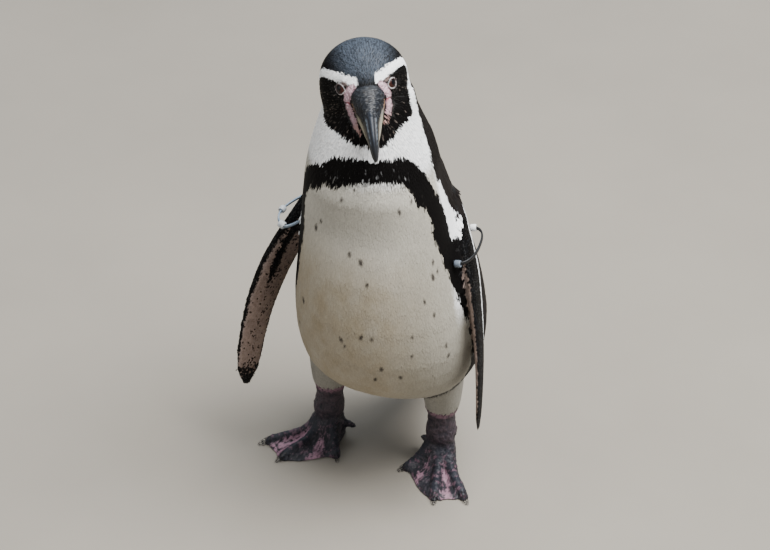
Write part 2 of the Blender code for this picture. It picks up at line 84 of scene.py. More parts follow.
# Head: the eggs that close its eye sockets, centre and radii in mm.
SKULL_EGGS = (((-5, 0, 2), (32.7, 37.1, 34.2)), ((13, 0, 0), (20.7, 19.7, 19.7)))
EYE_FROM_SKULL = (17.0, 6.0)  # forward and up of each eye's solid, mm
EYE_GAZE = (0.47, 0.80, 0.37)  # the way the left eye looks, in the head's axes
EYE_OPENING = (19.8, 23.3, 8.7)  # middle of the left eye's opening, mm
EYE_SLANT = math.radians(-16)  # turn of the opening about the way it looks
EYEBALL = 6.3  # radius, mm

BILL_ROOT = (25.0, 0.0, 1.5)  # in the skull's axes, mm
BILL_DROOP = 31.0  # degrees
# Upper mandible: distance along, half width, height of the culmen, height of its edge, mm.
BILL_UPPER = (
    (-9, 14.2, 10.0, 0.2), (-4, 15.2, 12.2, 0.1), (0, 14.8, 13.4, 0.1), (5, 13.4, 13.7, 0.1),
    (11, 11.8, 13.4, 0.2), (16, 9.8, 13.0, 0.3), (20, 8.1, 12.6, 0.5), (25, 7.0, 12.1, 0.7),
    (32, 6.1, 11.4, 0.8), (40, 5.2, 10.3, 0.5), (46, 4.4, 8.8, -0.5), (51, 3.7, 6.4, -2.0),
    (55.5, 2.8, 3.2, -3.8), (58.5, 1.8, -0.2, -5.0), (60, 0.9, -2.2, -5.6),
)
# Lower mandible: distance along, half width, height of its edge, height of the keel, mm.
BILL_LOWER = (
    (-9, 13.4, 0.0, -10.0), (0, 13.8, -0.2, -11.0), (12, 12.4, -0.3, -10.6), (22, 10.4, -0.1, -9.6),
    (32, 8.0, 0.2, -8.2), (41, 5.5, 0.1, -6.4), (47, 3.4, -0.8, -4.4), (50, 1.6, -1.4, -3.2),
)

# White brow stripe from the bill over the eye: forward, up and half width, mm; then the way it
# runs down behind the cheek on each side, and how far it tilts over the skull.
STRIPE = (
    (26.8, 15.7, 1.6), (23.5, 17.4, 2.9), (20.0, 18.0, 3.1), (15.0, 18.6, 3.4), (10.0, 18.6, 3.4),
    (3.5, 16.8, 3.3), (-1.5, 14.6, 3.2),
)
STRIPE_DOWN = {
    "left": ((-1.5, 14.6, 3.2), (-5, 9, 3.2), (-4, 3, 3.4), (1, -4, 3.8), (7, -11, 4.4),
             (11, -18, 5.5), (12, -28, 7)),
    "right": ((-1.5, 14.6, 3.2), (-6, 10, 3.4), (-10, 3, 3.6), (-11, -6, 4), (-8, -15, 4.5),
              (-4, -23, 5.5), (0, -31, 7)),
}
STRIPE_TILT = 0.04
# Bare pink skin from the eye to the gape and along the lower mandible: forward, left, up,
# half width, mm.
BARE_FACE = (
    (26.9, 12.6, 12.8, 2.8), (26.8, 16.5, 7.4, 3.8), (26.1, 18.2, 1.6, 2.6),
    (26.7, 17.8, -3.0, 2.3), (27.0, 17.4, -8.3, 2.9), (27.8, 16.4, -14.0, 2.8),
    (30.5, 14.4, -19.0, 2.3), (32.5, 12.5, -24.5, 1.9), (35.1, 9.8, -29.3, 1.0),
)
BARE_LORE = ((27, 16.5, 7.0, 3.2), (23.8, 20.0, 6.6, 2.4))  # from there to the eye
# Lower edge of the black cheeks and chin: forward, up, mm.
CHIN_EDGE = {
    "left": ((-2, 2), (7.3, -6.7), (11, -13.7), (13.5, -22.5), (20, -26), (25.4, -27), (30, -28),
             (34.6, -30.5), (38, -37), (41, -41), (48, -42)),
    "right": ((-9, -12), (-4, -20), (3, -28), (12.5, -29.8), (21.3, -30.9), (28.6, -34.1),
              (34.4, -37.5), (38.8, -40.7), (48, -42)),
}
# Black breast band: angle, height of its upper and lower edges.
BAND_TOP = (
    (-66, 0.330), (-62, 0.338), (-51, 0.354), (-38.6, 0.3656), (-31, 0.369), (-25, 0.379),
    (-17, 0.383), (-9.6, 0.3844), (5, 0.3851), (20, 0.3845), (31, 0.384), (40, 0.376), (49, 0.365),
    (55, 0.354), (59.8, 0.337), (63, 0.325),
)
BAND_BOTTOM = (
    (-56, 0.330), (-45, 0.333), (-38.6, 0.344), (-31, 0.349), (-24.5, 0.355), (-18, 0.3545),
    (-10.6, 0.359), (-4, 0.361), (3, 0.364), (16, 0.3645), (23, 0.3634), (28.4, 0.3623),
    (34.4, 0.3545), (38, 0.345), (41, 0.337), (56, 0.330),
)
# Black stripe down the flanks from the band: height, angle of its inner and outer edge.
FLANK_INNER = {
    "left": ((0.090, 94), (0.130, 86), (0.1669, 78), (0.1943, 73.5), (0.2192, 69.5), (0.2438, 64.3),
             (0.2702, 58.3), (0.2879, 54.7), (0.3061, 51.1), (0.3241, 48.8), (0.340, 43.0)),
    "right": ((0.090, 92), (0.130, 80), (0.160, 71), (0.190, 63), (0.220, 54), (0.2468, 48.2),
              (0.268, 47.4), (0.2916, 43.5), (0.3106, 44.6), (0.3215, 45.3), (0.340, 44)),
}
FLANK_OUTER = {
    # On the left, under the flipper, the black reaches further back: there it is partly the flank's
    # own black and partly painted shadow of the flipper.
    "left": ((0.090, 107), (0.130, 110), (0.180, 113), (0.240, 111), (0.277, 97), (0.286, 72),
             (0.2893, 70.5), (0.3042, 71), (0.3209, 67.5), (0.3373, 62)),
    "right": ((0.090, 97), (0.130, 91), (0.180, 82), (0.209, 76), (0.240, 70), (0.2735, 66),
              (0.2893, 63), (0.3042, 62), (0.3209, 62.0), (0.3373, 62)),
}
# Front edge of the black back and nape: height, angle.
BACK_EDGE = {
    "left": ((0.080, 100), (0.130, 100), (0.170, 103), (0.200, 106), (0.250, 99), (0.288, 91),
             (0.3027, 88), (0.329, 78.5), (0.343, 73), (0.350, 65), (0.3596, 63), (0.368, 63),
             (0.3815, 64), (0.393, 63.5), (0.4063, 63), (0.4175, 63), (0.430, 65), (0.440, 68)),
    "right": ((0.080, 100), (0.130, 100), (0.170, 103), (0.200, 106), (0.250, 99), (0.303, 92),
              (0.329, 87), (0.345, 83), (0.368, 77), (0.393, 68), (0.4175, 66), (0.440, 68)),
}
# Dark spots on the belly: angle, height.
SPOTS = (
    (-12, .3457), (-25, .3182), (-29, .3096), (-4, .2970), (3, .2913), (7, .2702), (26, .3374),
    (35, .3442), (48, .2818), (51, .2710), (47, .2682), (46, .2313), (-8, .2062), (-6, .1996),
    (4, .2144), (10, .2144), (32, .2153), (32, .1937), (54, .1936), (56, .1809), (15, .1788),
    (11, .1628), (26, .1674), (40, .2480), (-38, .2250), (-47, .1900),
)

# Colours, linear.
WHITE = (0.45, 0.43, 0.375)
COLLAR_WHITE = (0.92, 0.94, 0.96)
BLACK = (0.0028, 0.0024, 0.0024)
# The crown's slate, lightened and blued by a painted sheen of the sky.
CROWN_SLATE_AND_SHEEN = (0.048, 0.060, 0.079)
BACK = (0.0100, 0.0082, 0.0076)
SPOT = (0.020, 0.016, 0.015)
PINK = (0.52, 0.35, 0.40)
# Grey-brown painted shade under the brow.
BROW_SHADE = (0.19, 0.14, 0.13)
EYE_RING = (0.40, 0.38, 0.38)
FLIPPER_UNDER = (0.21, 0.155, 0.13)
SLATE = (0.018, 0.018, 0.024)
FOOT_PINK = (0.34, 0.19, 0.25)

# Coats: the part each covers, which side of it, the feathers' spacing, length, width, lift and
# root depth in mm, how ruffled they are, and the slot each takes its finish from.
COATS = {
    "coat_belly": ("trunk", "front", 1.55, 8.0, 2.8, 0.20, 0.15, 0.20, "plumage"),
    "coat_back": ("trunk", "back", 1.9, 8.5, 3.4, 0.4, 0.3, 0.35, "dark_plumage"),
    "coat_neck": ("neck", "all", 1.15, 5.6, 1.4, 0.5, 0.4, 0.50, "plumage"),
    "coat_head": ("head", "all", 0.78, 3.2, 0.8, 0.5, 0.4, 0.5, "dark_plumage"),
    "coat_flipper_left": ("flipper", "left", 1.3, 2.8, 1.9, 0.2, 0.2, 0.3, "dark_plumage"),
    "coat_flipper_right": ("flipper", "right", 1.3, 2.8, 1.9, 0.2, 0.2, 0.3, "dark_plumage"),
    "coat_thighs": ("thigh", "all", 1.5, 5.0, 2.4, 0.3, 0.3, 0.2, "plumage"),
    "coat_tail": ("tail", "all", 2.2, 13.0, 3.0, 1.0, 0.5, 0.4, "dark_plumage"),
}
COAT_SPLIT = 88.0  # how far round the trunk the belly's coat meets the back's, degrees
PATCH = 0.0015  # half the size of a feather's UV patch

# Each band's loop: half its length from back to front, the way it bulges, and how far it stands
# out and in, mm.
LOOPS = {
    "left": ((0.0026, -0.0287, 0.0), (0.98, 0.10, 0.19), 15.0, 5.0),
    "right": ((-0.0104, -0.0263, -0.0004), (-0.85, 0.52, 0.30), 16.0, 5.0),
}
STRAP = (1.6, 0.9)  # half its width and half its thickness, mm
# Plain finishes: darker colour, lighter colour and roughness; then the ones that each side's
# strap and two beads have.
BAND_LOOKS = {
    "strap": ((0.005, 0.005, 0.006), (0.010, 0.011, 0.013), 0.40),
    "blue strap": ((0.20, 0.27, 0.36), (0.34, 0.40, 0.47), 0.45),
    "white bead": ((0.62, 0.63, 0.64), (0.78, 0.78, 0.78), 0.35),
    "grey bead": ((0.07, 0.085, 0.11), (0.15, 0.18, 0.22), 0.38),
    "pale bead": ((0.42, 0.45, 0.48), (0.62, 0.64, 0.66), 0.38),
}
BANDS = {
    "left": ("strap", "grey bead", "white bead"), "right": ("blue strap", "pale bead", "pale bead"),
}

# The stage: the floor's two colours, the world's colour and strength, and each light's place,
# size, power and colour.
FLOOR = ((0.3, (0.225, 0.207, 0.177)), (0.7, (0.25, 0.23, 0.197)))
SKY = ((0.93, 0.96, 1.0, 1), 0.40)
LIGHTS = (
    ("key", (1.1, -0.1, 2.9), 2.0, 290, (1.0, 0.99, 0.98)),
    ("fill", (-1.9, -1.4, 1.4), 2.0, 12, (1.0, 0.97, 0.93)),
    ("sky", (-0.2, 1.6, 2.6), 2.4, 45, (0.86, 0.93, 1.0)),
)

# ---- Numbers and places ----
# Everywhere below, p is an array of places in metres, one row each.


def unit(v):
    v = np.asarray(v, float)
    return v / np.maximum(np.linalg.norm(v, axis=-1, keepdims=True), 1e-12)


def middle(node):
    return np.mean([tuple(corner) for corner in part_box(node)], 0)


def ramp(x, low, high):
    """0 below low and 1 above high, smooth in between. low may be the larger."""
    t = np.clip((np.asarray(x, float) - low) / (high - low), 0, 1)
    return t * t * (3 - 2 * t)


def hump(x, at, wide):
    """1 where x is at a value, falling off on both sides of it."""
    return np.exp(-(((x - at) / wide) ** 2))


def squarer(wave, power):
    """A wave of -1 to 1 made squarer by a power under 1."""
    return np.sign(wave) * np.abs(wave) ** power


def circle(count):
    """Angles round a circle, their cosines and their sines."""
    turn = np.linspace(0, 2 * math.pi, count, endpoint=False)
    return turn, np.cos(turn), np.sin(turn)


def table(pairs, x):
    return np.interp(x, *np.array(sorted(pairs), float).T)


EYES = {side: middle(f"eye_{side}") for side in SIDES}
LEFTWARD = unit(EYES["left"] - EYES["right"])
FORWARD = unit(np.cross(LEFTWARD, (0, 0, 1)))
UPWARD = np.cross(FORWARD, LEFTWARD)
HEAD_AXES = np.stack([FORWARD, LEFTWARD, UPWARD])
SKULL = sum(EYES.values()) / 2 - (EYE_FROM_SKULL[0] * FORWARD + EYE_FROM_SKULL[1] * UPWARD) * MM
TRUNK = middle("trunk") + (-1.2 * MM, 2.0 * MM, 0)
AIM = (TRUNK[0] - 6 * MM, TRUNK[1] + 3 * MM, 0.2141)  # where the camera looks


def in_head(p):
    return (np.asarray(p) - SKULL) @ HEAD_AXES.T / MM


def from_head(place):
    return SKULL + (np.asarray(place, float) * MM) @ HEAD_AXES


def mirrored(place, side):
    """A place or direction given for the left of the head, on the named side."""
    return np.array(place, float) * (1, SIDES[side], 1)


def bill_axes():
    """Along, left and up the bill, as rows in the head's axes."""
    droop = math.radians(BILL_DROOP)
    c, s = math.cos(droop), math.sin(droop)
    return np.array([(c, 0, -s), (0, 1, 0), (s, 0, c)])


def round_trunk(p):
    """Degrees round the trunk, 0 in front and positive on the bird's left."""
    return np.degrees(np.arctan2(p[:, 0] - TRUNK[0], TRUNK[1] - p[:, 1]))


class Noise:
    """Smooth seeded noise of about -1 to 1: a few octaves of waves in random directions."""

    def __init__(self, seed, size, octaves=3, waves=14):
        rng = np.random.default_rng(seed)
        self.layers = []
        for octave in range(octaves):
            ways = unit(rng.normal(size=(waves, 3))) * (2 * math.pi / (size / 2**octave))
            ways *= rng.uniform(0.6, 1.5, (waves, 1))
            self.layers.append((ways, rng.uniform(0, 2 * math.pi, waves), 0.6**octave))

    def __call__(self, p):
        total = sum(share for _, _, share in self.layers)
        found = 0
        for ways, phase, share in self.layers:
            found = found + share * np.sin(p @ ways.T + phase).sum(1) / math.sqrt(len(phase) / 2)
        return found / total / 1.2


def near_line(p, line):
    """Distance to a line of points less its half width there (the last column), same units."""
    line = np.array(line, float)
    best = np.full(len(p), FAR)
    for a, b in zip(line, line[1:]):
        along = b[:-1] - a[:-1]
        t = np.clip((p - a[:-1]) @ along / (along @ along), 0, 1)
        away = np.linalg.norm(p - (a[:-1] + t[:, None] * along), axis=1)
        best = np.minimum(best, away - (a[-1] + t * (b[-1] - a[-1])))
    return best


# ---- The solids ----


def read(collection, key, size=3, kind=np.float64):
    """An attribute of every item of a mesh's collection, one row each."""
    found = np.empty(len(collection) * size, kind)
    collection.foreach_get(key, found)
    return found.reshape(-1, size)


def coords(mesh):
    return read(mesh.vertices, "co")


def vertex_normals(mesh):
    return read(mesh.vertex_normals, "vector", kind=np.float32).astype(float)


def solid_points(node):
    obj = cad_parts[node]
    m = np.array(obj.matrix_world)
    return coords(obj.data) @ m[:3, :3].T + m[:3, 3]


def gathered(nodes, grown=0.0):
    """Vertices and faces of solids, each grown, and the number of each face's node."""
    verts, faces, owners = [], [], []
    for number, node in enumerate(nodes):
        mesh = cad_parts[node].data
        faces += [[len(verts) + i for i in face.vertices] for face in mesh.polygons]
        owners += [number] * len(mesh.polygons)
        verts += (solid_points(node) + vertex_normals(mesh) * grown).tolist()
    return verts, faces, np.array(owners)


verts, faces, FACE_OWNER = gathered(FLESH)
FLESH_TREE = BVHTree.FromPolygons(verts, faces)
TRUNK_TREE = BVHTree.FromPolygons(*gathered(["trunk"])[:2])
PART = np.array([name.split("_")[0] for name in FLESH])
HEAD_OR_NECK = [FLESH.index("head"), FLESH.index("neck")]


def nearest(p):
    """The numbers of the flesh nodes that places lie on."""
    return FACE_OWNER[[FLESH_TREE.find_nearest(Vector(place))[2] for place in p]]


def from_trunk(p):
    """Distance to the trunk's solid, mm."""
    return np.array([TRUNK_TREE.find_nearest(Vector(place))[3] for place in p]) / MM


class Flipper:
    """A flipper's own axes, found from its solid: down it, to its leading edge, out of its back."""

    def __init__(self, side):
        p = solid_points(f"flipper_{side}")
        self.centre = p.mean(0)
        down, lead, out = np.linalg.svd(p - self.centre, full_matrices=False)[2]
        self.down = down * np.sign(-down[2])
        self.lead = lead * np.sign(-lead[1])
        self.out = out * np.sign(out[0] * SIDES[side])
        d, c = (p - self.centre) @ self.down, (p - self.centre) @ self.lead
        self.start, self.length = d.min(), np.ptp(d)
        self.rows = np.linspace(0, 1, 14)
        near = [c[np.abs((d - self.start) / self.length - row) < 0.07] for row in self.rows]
        self.back_edge, self.front_edge = ([edge(n) for n in near] for edge in (np.min, np.max))

    def places(self, p):
        """Share of the way down, and across from -1 at the trailing to 1 at the leading edge."""
        share = ((p - self.centre) @ self.down - self.start) / self.length
        c = (p - self.centre) @ self.lead
        low = np.interp(share, self.rows, self.back_edge)
        high = np.interp(share, self.rows, self.front_edge)
        return share, np.clip((c - low) / (high - low) * 2 - 1, -1.2, 1.2)


def foot_axes(side):
    """The ankle, and the foot's ways forward and outward."""
    ankle = middle(f"shank_{side}")
    forward = unit((middle(f"claw_middle_{side}") - ankle) * (1, 1, 0))
    return ankle, forward, np.array((-forward[1], forward[0], 0)) * SIDES[side]


FLIPPERS = {side: Flipper(side) for side in SIDES}
FEET = {side: foot_axes(side) for side in SIDES}


def on_foot(p, side):
    """Places along and across a foot from its ankle, and their distance from it, mm."""
    ankle, forward, outward = FEET[side]
    rel = (p - ankle) / MM
    along, across = rel @ forward, rel @ outward
    return along, across, np.hypot(along, across)


def toe_distance(p, side):
    """Distance in plan from the nearest toe's middle line, mm."""
    ankle = FEET[side][0]
    best = FAR
    for toe in TOES:
        end = (middle(f"claw_{toe}_{side}") - ankle)[:2] / MM
        way = unit(end)
        line = ((*(12 * way), 0), (*(end - 3 * way), 0))
        best = np.minimum(best, near_line((p - ankle)[:, :2] / MM, line))
    return best


def above_shin(p):
    """Height above the lower edge of the thighs' feathers, mm."""
    low = np.where(p[:, 0] > TRUNK[0], *(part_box(f"thigh_{side}")[0][2] for side in SIDES))
    return (p[:, 2] - low) / MM - BARE_SHIN + 0.8 * fine(p)


# ---- Markings ----

coarse, medium = Noise(1, 26 * MM), Noise(2, 9 * MM)
fine, speck = Noise(3, 2.6 * MM), Noise(4, 1.5 * MM, octaves=2)


class Paint:
    """Linear colours of places, laid over each other."""

    def __init__(self, base, p):
        self.rgb = np.array(base, float) + np.zeros((len(p), 3))

    def scale(self, by):
        self.rgb = self.rgb * by[:, None]
        return self

    def lay(self, rgb, amount):
        self.rgb = self.rgb + (np.array(rgb) - self.rgb) * np.clip(amount, 0, 1)[:, None]
        return self


def by_side(tables, left, at):
    """Reads each point's own side's table."""
    return np.where(left, table(tables["left"], at), table(tables["right"], at))


def body_colours(p, edge):
    """Trunk, neck and thighs. edge is the softness of a boundary, mm."""
    z = p[:, 2] + (0.9 * medium(p) + 1.3 * fine(p)) * MM
    signed = round_trunk(p) + 0.8 * medium(p + 1.0)
    angle, left = np.abs(signed) + 1.3 * fine(p + 2.0), signed > 0
    soft, low = edge / 1.35, edge * MM  # the soft edge in degrees and in metres
    c = Paint(WHITE, p).scale(1 + 0.04 * coarse(p) + 0.03 * fine(p))
    # Painted shade and painted warm light bounced from the floor: the belly darker and warmer low
    # down and towards its right.
    low_warm_shade = ramp(z, 0.33, 0.24) * ramp(signed, 75, 5)
    c.lay((0.255, 0.205, 0.13), 0.8 * low_warm_shade * (0.85 + 0.15 * coarse(p)))
    chest = ramp(z, 0.354, 0.340) * ramp(z, 0.295, 0.325) * ramp(np.abs(signed), 45, 15)
    c.lay((0.22, 0.205, 0.17), 0.75 * chest)
    # Painted shadow down the left side of the belly, below the breast band.
    c.lay((0.22, 0.205, 0.165), 0.45 * ramp(signed, 14, 40) * ramp(z, 0.350, 0.335))
    c.lay(COLLAR_WHITE, ramp(z, 0.355, 0.372))
    c.lay(COLLAR_WHITE, ramp(angle, 60, 68) * ramp(z, 0.20, 0.24))
    top, bottom = table(BAND_TOP, signed), table(BAND_BOTTOM, signed)
    band = ramp(z, top + low, top - low) * ramp(z, bottom - low, bottom + low)
    inner, outer = by_side(FLANK_INNER, left, z), by_side(FLANK_OUTER, left, z)
    flank = ramp(angle, inner - soft, inner + soft) * ramp(angle, outer + soft, outer - soft)
    flank *= ramp(z, 0.348, 0.338) * (p[:, 2] > 0.088)
    fleck = ramp(speck(p) + 0.8 * fine(p), 1.0, 1.5) * ramp(z, bottom + 0.016, bottom)
    c.lay(BLACK, np.maximum(band * (1 - 0.35 * fleck), flank))
    c.lay(BACK, flank * ramp(angle, 78, 100))
    stray = ramp(speck(p) + 0.7 * fine(p), 0.9, 1.4)
    stray *= ramp(z, bottom - 0.009, bottom - 0.002) * (z < bottom) * (np.abs(signed) < 50)
    c.lay(SPOT, 0.8 * stray)
    edge_of_back = by_side(BACK_EDGE, left, z)
    hem = 0.099 - 0.035 * ramp(angle, 140, 158)
    back = ramp(angle, edge_of_back - soft, edge_of_back + soft)
    return c.lay(BACK, back * ramp(p[:, 2], hem - 0.004, hem + 0.004)).rgb


def spotted(p, rgb):
    """The dark spots of the belly laid over its colours."""
    signed, z = round_trunk(p), p[:, 2]
    amount = np.zeros(len(p))
    for where, height in SPOTS:
        across, tall = np.radians(signed - where) * 88, (z - height) / MM
        size = 1.5 + 0.45 * math.sin(40 * where)
        shape = np.hypot(across + 0.25 * tall * math.sin(17 * where), tall * 0.58)
        amount = np.maximum(amount, 0.9 * ramp(shape + 0.25 * fine(p), size + 0.7, size - 0.4))
    return rgb + (np.array(SPOT) - rgb) * (amount * (p[:, 1] < TRUNK[1]))[:, None]


def head_colours(p, edge):
    """Head and throat: black, with the brow stripe and the crown."""
    place = in_head(p)
    f, l, u = place.T
    side = np.abs(l)
    c = Paint(BLACK, p).lay(BACK, ramp(f, 0, -22) * ramp(u, 22, -2))
    # The crown: its slate with a painted sheen of the sky, brightest on its top and middle, crossed
    # by dark rows of feathers.
    crown_sheen = ramp(u, 12, 27) * ramp(side, 34, 10) * ramp(f, -34, -12)
    rows = np.sin(np.arctan2(l, u + 20) * 150 + 2.4 * fine(p) + 1.2 * medium(p))
    c.lay(CROWN_SLATE_AND_SHEEN, crown_sheen * (0.80 + 0.42 * rows + 0.15 * fine(p)))
    # Painted glints: brownish flecks on the cheeks and throat for light caught by single feathers.
    fleck = ramp(speck(p), 0.75, 1.2) * ramp(u, 12, 0) * (f > -5)
    c.lay((0.15, 0.125, 0.11), 0.55 * fleck)
    tilted = np.stack([f, u - STRIPE_TILT * l], 1)
    stripe = near_line(tilted, STRIPE)
    for name, sign in SIDES.items():
        down = near_line(tilted, STRIPE_DOWN[name])
        stripe = np.where(l * sign > 0, np.minimum(stripe, down), stripe)
    stripe = stripe + 0.7 * fine(p) + 0.5 * speck(p)
    c.lay(COLLAR_WHITE, ramp(stripe, edge / 2, -edge / 2) * ramp(side, 7.2, 8.6))
    folded = np.stack([f, side, u], 1)
    # Painted shade under the brow stripe, in front of and above each eye.
    under_brow = np.linalg.norm((folded - (22.6, 19.5, 14.0)) / (4.6, 3.2, 2.0), axis=1)
    return c.lay(BROW_SHADE, 0.8 * ramp(under_brow + 0.25 * fine(p), 1.15, 0.75)).rgb


def bare_face(p):
    """Distance in mm outside the bare skin of the face; below zero inside it."""
    f, l, u = in_head(p).T
    folded = np.stack([f, np.abs(l), u], 1)
    line = np.minimum(near_line(folded, BARE_FACE), near_line(folded, BARE_LORE))
    return np.minimum(line + 0.65 * medium(p + 3.0), eye_distance(p) - 1.3)


def creases(p):
    """0 along the folds of the bare face, to 1 between them."""
    f, _, u = in_head(p).T
    return np.abs(np.sin(0.55 * u + 0.8 * f + 2.5 * medium(p) + 0.8 * fine(p)))


def eye_axes(side):
    """The middle of the opening and the eye's axes: across (to the bill), up and out."""
    out = unit(mirrored(EYE_GAZE, side))
    across = unit(np.array((1.0, 0, 0)) - out * out[0])
    up = np.cross(out, across) * SIDES[side]
    c, s = math.cos(EYE_SLANT), math.sin(EYE_SLANT)
    return mirrored(EYE_OPENING, side), across * c + up * s, up * c - across * s, out


def eye_distance(p):
    """Distance in mm outside the almond opening of the nearer eye."""
    place = in_head(p)
    best = np.full(len(p), FAR)
    for side in SIDES:
        centre, a, b, out = eye_axes(side)
        x, y, d = ((place - centre) @ np.stack([a, b, out]).T).T
        almond = np.where(y > 0, 3.4, 3.0) * np.clip(1 - (np.abs(x) / 5.4) ** 2.1, 0, 1)
        ends = np.hypot(np.maximum(np.abs(x) - 4.6, 0), y) - 0.5
        found = np.where(np.abs(x) > 4.6, np.maximum(ends, 0) + 0.2, (np.abs(y) - almond) * 0.85)
        found = np.where((np.abs(d) < 9) & (np.hypot(x, y) < 14), found, FAR)
        best = np.minimum(best, found)
    return best


def face_colours(p, rgb):
    """Lays the bare skin of the face over the feather colours."""
    f, _, u = in_head(p).T
    bare = bare_face(p) + 0.55 * fine(p) + 0.3 * speck(p)
    c = Paint(PINK, p).scale(1 + 0.10 * medium(p) + 0.06 * speck(p))
    c.lay((0.70, 0.58, 0.63), 0.6 * ramp(fine(p), 0.2, 0.9))
    # Painted shade along the folds of the bare skin, and in a darker rim just inside its edge where
    # it dips under the feathers.
    c.lay((0.30, 0.15, 0.18), 0.65 * ramp(creases(p), 0.45, 0.05))
    c.lay((0.30, 0.20, 0.22), 0.6 * ramp(bare + 0.8 * speck(p), -1.6, -0.5))
    c.lay((0.36, 0.07, 0.09), ramp(np.abs(u + 3.0) + 0.5 * np.abs(f - 29), 2.2, 1.0))
    c.lay((0.52, 0.28, 0.16), 0.4 * ramp(u, -10, -18) * ramp(f, 29, 33))
    # Painted shade under the brow, between the bare skin's upper patch and the eye.
    grey = ramp(f, 26, 22.5) * ramp(u, 2, 6) * (0.8 + 0.2 * fine(p))
    c.lay((0.27, 0.22, 0.23), 0.75 * grey)
    ring = eye_distance(p) + 0.3 * fine(p)
    c.lay(EYE_RING, ramp(ring, 1.9, 1.2)).lay((0.05, 0.03, 0.03), ramp(ring, 0.6, 0.25))
    return rgb + (c.rgb - rgb) * ramp(bare, 0.4, -0.4)[:, None]


def flipper_colours(p, normals, side):
    blade, left = FLIPPERS[side], side == "left"
    share, across = blade.places(p)
    wobble = 0.06 * fine(p) + 0.05 * medium(p)
    top = Paint(np.array(BLACK) * 1.4, p)
    top.lay((0.035, 0.042, 0.055), 0.20 * ramp(speck(p), 0.0, 1.2))
    # Painted shade: the flipper's top darker where it faces up, to hold back the light from above.
    top.scale(1 - 0.7 * ramp(normals[:, 2], 0.1, 0.6))
    inner = -0.80 + (0.65 if left else 0.35) * ramp(share, 0.74, 0.50)
    begin = 0.02 if left else 0.20
    margin = ramp(across + wobble, inner + 0.04, inner - 0.04) * ramp(share, begin, begin + 0.10)
    margin *= np.maximum(ramp(across, -0.97, -0.90), ramp(share, 0.6, 0.7))
    top.lay(COLLAR_WHITE, margin)
    low = Paint(FLIPPER_UNDER, p).scale(1 + 0.22 * medium(p) + 0.12 * fine(p))
    low.lay((0.30, 0.24, 0.22), 0.5 * ramp(across, 0.60, 0.80) * ramp(across, 0.93, 0.82))
    bar_middle = 0.42 - 0.25 * ramp(share, 0.2, 0.5)
    bar = np.abs(across - bar_middle + wobble) - 0.20 * ramp(share, 0.52, 0.40)
    low.lay(BLACK, ramp(bar, 0.03, -0.03) * ramp(share, 0.55, 0.50))
    mottle = fine(p) + 0.7 * medium(p) - 0.55 - 1.1 * np.abs(across + 0.12)
    low.lay(BLACK, 0.9 * ramp(mottle, -0.30, 0.05) * ramp(share, 0.28, 0.4))
    border = 0.94 if left else 0.76
    low.lay(BLACK, ramp(across + 0.7 * wobble, border, border + 0.06))
    low.lay(BLACK, ramp(across + wobble, -0.74, -0.84))
    low.lay(BLACK, ramp(share + 0.6 * wobble - 0.03 * np.abs(across), 0.87, 0.90))
    low.lay(BLACK, ramp(share + wobble, 0.26, 0.20))
    under = ramp(normals @ blade.out, 0.15, -0.15)
    return top.rgb + (low.rgb - top.rgb) * under[:, None]


def foot_colours(p, side):
    left, toe, height = side == "left", toe_distance(p, side), p[:, 2] / MM
    along, across, radius = on_foot(p, side)
    heading = np.degrees(np.arctan2(across, along))
    c = Paint(SLATE, p).scale(1 + 0.35 * medium(p) + 0.2 * fine(p))
    c.lay((0.075, 0.062, 0.072), 0.6 * ramp(fine(p) + medium(p), 0.2, 1.2))
    c.lay((0.013, 0.015, 0.023), 0.8 * ramp(toe, 4.5, 2.0))
    blotch = medium(p) + 0.6 * fine(p)
    streaks = ramp(blotch + 0.8 * np.sin(np.radians(heading) * 60 + 2 * medium(p)), -1.2, 0.2)
    for web in WEB_HEADINGS:
        width = (6.5, 1.5) if left else (10.0, 4.0)
        strip = ramp(np.abs(heading - web) - 3.0 * blotch, *width) * streaks
        strip *= ramp(radius, 18, 26) * ramp(radius, 64, 54) * ramp(toe, 2.6, 4.2)
        c.lay(FOOT_PINK, (0.7 if left else 0.95) * strip)
    patches = ramp(medium(p + 4.0) + 0.5 * fine(p), 0.35, 0.95) * ramp(radius, 12, 20)
    c.lay((0.16, 0.085, 0.115), 0.6 * patches)
    c.lay((0.060, 0.042, 0.052), ramp(height, 22, 40) * (0.6 + 0.4 * blotch))
    cuff = ramp(2.0 * blotch - above_shin(p), 7.5, 4.0) * (height > 30)
    return c.lay(FOOT_PINK, 0.6 * cuff * ramp(fine(p), -1.0, 0.3)).rgb


def thigh_crease_shade(p):
    """The ragged painted shade in the fold where the thigh leaves the flank."""
    gap = np.abs(from_trunk(p) - 2.0) + 0.7 * fine(p)
    line = 0.9 * ramp(gap, 1.7, 0.7) * ramp(np.abs(round_trunk(p)), 22, 34)
    return line * ramp(medium(p), -1.4, -0.6)


